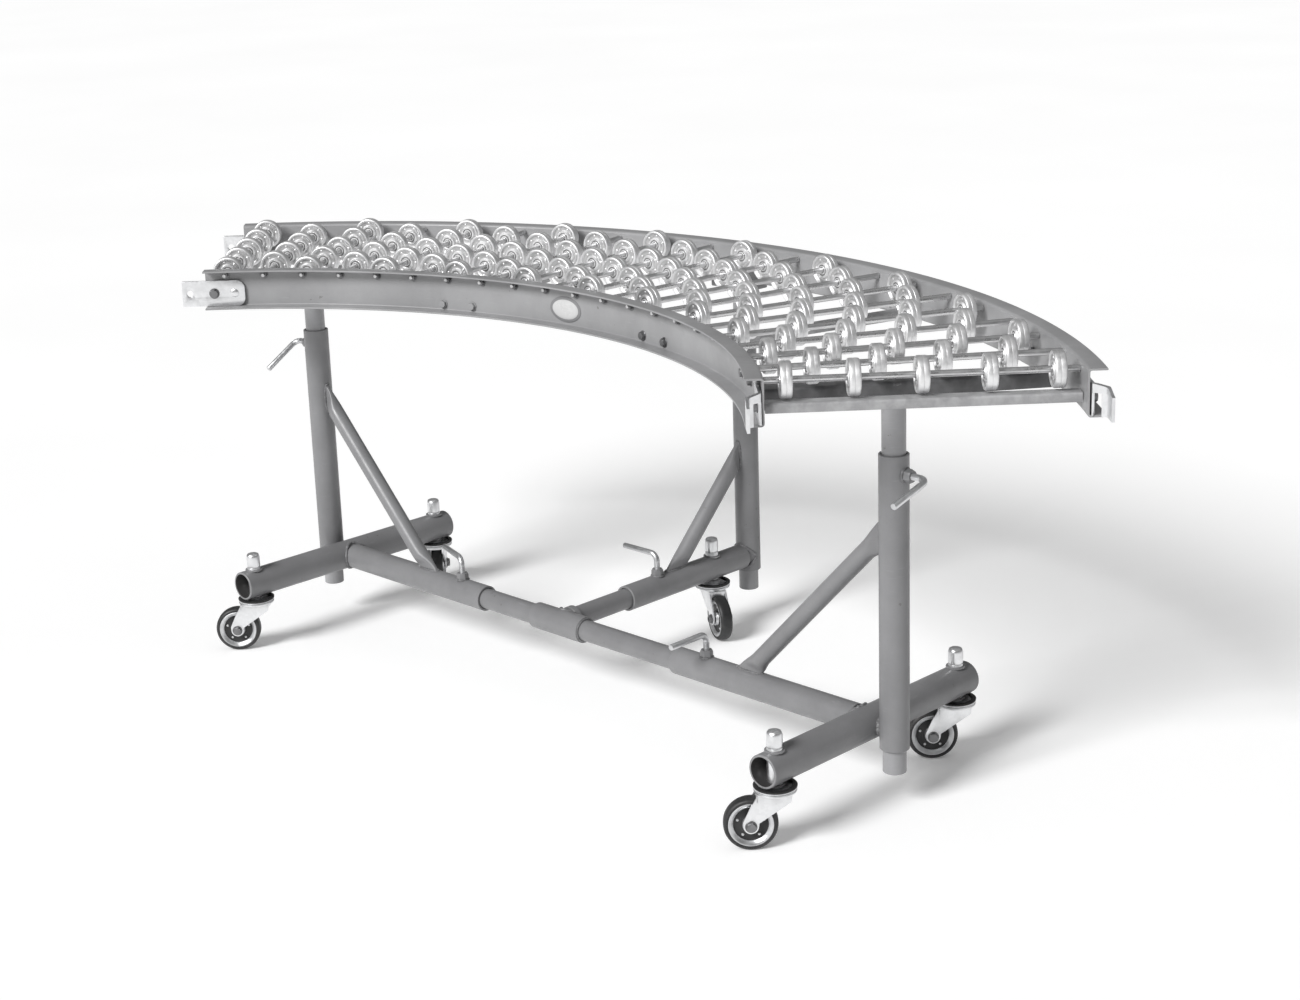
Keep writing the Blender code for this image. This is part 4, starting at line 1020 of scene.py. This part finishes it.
def caster_wheel(place_name, swivel, heading):
    """A tyre on a bright rim, with a dark dished web, a boss and rivets."""
    shape = Shape()
    turn = Matrix.Rotation(heading, 3, "Z")
    across = turn @ BACK
    place = frame_of(swivel + turn @ Vector((TRAIL, 0, HUB_Z)), across)
    tyre = [(31.2, 9.2), (31.8, 10.1), (32.8, 10.4), (34.2, 10.2), (35.6, 9.3), (36.8, 7.6), (37.4, 5.4),
            (37.6, 2.6), (37.6, 0)]
    rim = [(31.3, 9), (31, 9.8), (30.3, 10.1), (29.2, 9.9), (27, 8.4), (25.2, 7.4), (24.2, 6)]
    dish = [(24.2, 6), (23, 5.2), (16.5, 4.6), (13.2, 5), (12.2, 6.2)]
    boss = [(12.2, 6.2), (11.8, 9), (11.2, 10.4), (10.2, 11), (7.6, 11), (7.2, 10.4), (5.4, 10.4),
            (5.2, 10.9), (4.6, 10.9)]
    for part, slot in ((tyre, 0), (rim, 1), (dish, 2), (boss, 1)):
        for side in (-1, 1):
            shape.revolve(in_mm([(r, side * z) for r, z in part]), place, 64, slot)
    dome = in_mm([(2.1, 0), (1.8, 0.8), (1, 1.2), (0, 1.35)])
    for side in (-1, 1):
        for x, y in circle(19 * MM, 5):
            disc_stack(shape, dome, place @ Vector((x, y, side * 4.7 * MM)), across * side, 1, 12)
    node = f"{place_name}_caster_wheel"
    title = "CasterWheel." + title_of(place_name)
    shape.make(title, [TYRE, HANDLE_ZINC, DUST_RING], node, [node], 32.0)


def casters():
    """Four casters under the feet and one under the middle arm, each with its own heading in degrees."""
    for name, x, y, degrees in (
            ("left_front", -FOOT_X, BASE_Y - CASTER_Y, 225.0),
            ("left_back", -FOOT_X, BASE_Y + CASTER_Y, 135.0),
            ("right_front", FOOT_X, BASE_Y - CASTER_Y, 225.0),
            ("right_back", FOOT_X, BASE_Y + CASTER_Y, 225.0),
            ("middle", MID_X, MID_CASTER_Y, -27.0)):
        swivel = stand_point(x, y, 0.0)
        caster_fork(name, swivel, math.radians(degrees))
        caster_wheel(name, swivel, math.radians(degrees))


# ---- stage, light and camera

def floor():
    n = Nodes("studio_floor")
    tone = n.mix(n.span(n.noise(0.8, 3.0), 0.3, 0.7), (0.95, 0.95, 0.95), (0.98, 0.98, 0.98))
    finish = n.finish(tone, 0.85, 0.0, n.bump(n.noise(160.0, 2.0), 0.03, 0.0002), Specular_IOR_Level=0.2,
                      Emission_Color=(1.0, 1.0, 1.0, 1.0), Emission_Strength=0.12)
    mesh = bpy.data.meshes.new("Floor")
    bm = bmesh.new()
    bmesh.ops.create_circle(bm, cap_ends=True, segments=96, radius=45.0)
    bm.to_mesh(mesh)
    bm.free()
    mesh.materials.append(finish)
    new_object("Floor", mesh)


def studio():
    """Soft light all round: bright at the horizon and overhead, and darker between them."""
    world = bpy.data.worlds.new("Studio")
    bpy.context.scene.world = world
    world.use_nodes = True
    tree = world.node_tree
    where = tree.nodes.new("ShaderNodeTexCoord")
    split = tree.nodes.new("ShaderNodeSeparateXYZ")
    ramp = tree.nodes.new("ShaderNodeValToRGB")
    tree.links.new(where.outputs["Generated"], split.inputs[0])
    tree.links.new(split.outputs["Z"], ramp.inputs[0])
    stops = ramp.color_ramp.elements
    stops.new(0.28)
    for stop, place, grey in zip(stops, (0.0, 0.28, 0.85), (0.86, 0.42, 1.0)):
        stop.position = place
        stop.color = (grey, grey, grey, 1)
    back = tree.nodes["Background"]
    tree.links.new(ramp.outputs[0], back.inputs["Color"])
    back.inputs["Strength"].default_value = 0.35


def toward(azimuth, elevation):
    """The direction from the object to a lamp or the camera; azimuth 0 is in front of it."""
    a, e = math.radians(azimuth), math.radians(elevation)
    return Vector((math.sin(a) * math.cos(e), -math.cos(a) * math.cos(e), math.sin(e)))


def sun(name, energy, angle, azimuth, elevation):
    data = bpy.data.lights.new(name, "SUN")
    data.energy = energy
    data.angle = math.radians(angle)
    lamp = new_object(name, data)
    lamp.rotation_mode = "QUATERNION"
    lamp.rotation_quaternion = (-toward(azimuth, elevation)).to_track_quat("-Z", "Y")


def camera():
    """A camera at the photo's viewing angle, with a slight roll and a small vertical shift."""
    back = toward(45.07, 15.84)
    roll = math.radians(-1.94)
    distance = 3.62609
    right = (-back).cross(UP).normalized()
    up = right.cross(-back).normalized()
    r = right * math.cos(roll) + up * math.sin(roll)
    u = up * math.cos(roll) - right * math.sin(roll)
    target = stand_point(-0.05421, 0.22648 + BASE_Y, 0.34474)
    data = bpy.data.cameras.new("Camera")
    data.sensor_width = 36.0
    data.lens = 61.25926
    data.shift_y = -0.035946
    data.clip_start = 0.05
    data.clip_end = 200.0
    cam = new_object("Camera", data)
    turned = Matrix((r, u, back)).transposed().to_4x4()
    cam.matrix_world = Matrix.Translation(target + back * distance) @ turned
    bpy.context.scene.camera = cam


def main():
    rail("Rail.Inner", "inner_rail", INNER_WEB, INSIDE_R, -1)
    rail("Rail.Outer", "outer_rail", OUTER_WEB, OUTSIDE_R, 1)
    wheel = skate_wheel()
    for row in range(ROWS):
        wheel_row(row + 1, row_angle(row), wheel)
    cross_members()
    couplers()
    centre_tee()
    side_leg("Leg.Left", "left_leg_frame", -1)
    side_leg("Leg.Right", "right_leg_frame", 1)
    middle_leg()
    side_post("Post.Left", "left_inner_post", -1)
    side_post("Post.Right", "right_inner_post", 1)
    middle_post()
    braces()
    clamp_handles()
    casters()
    floor()
    studio()
    sun("Key", 3.4, 22.0, 0.0, 36.0)
    sun("Fill", 0.05, 60.0, 120.0, 35.0)
    camera()
    bpy.context.scene.view_settings.view_transform = "Standard"


main()
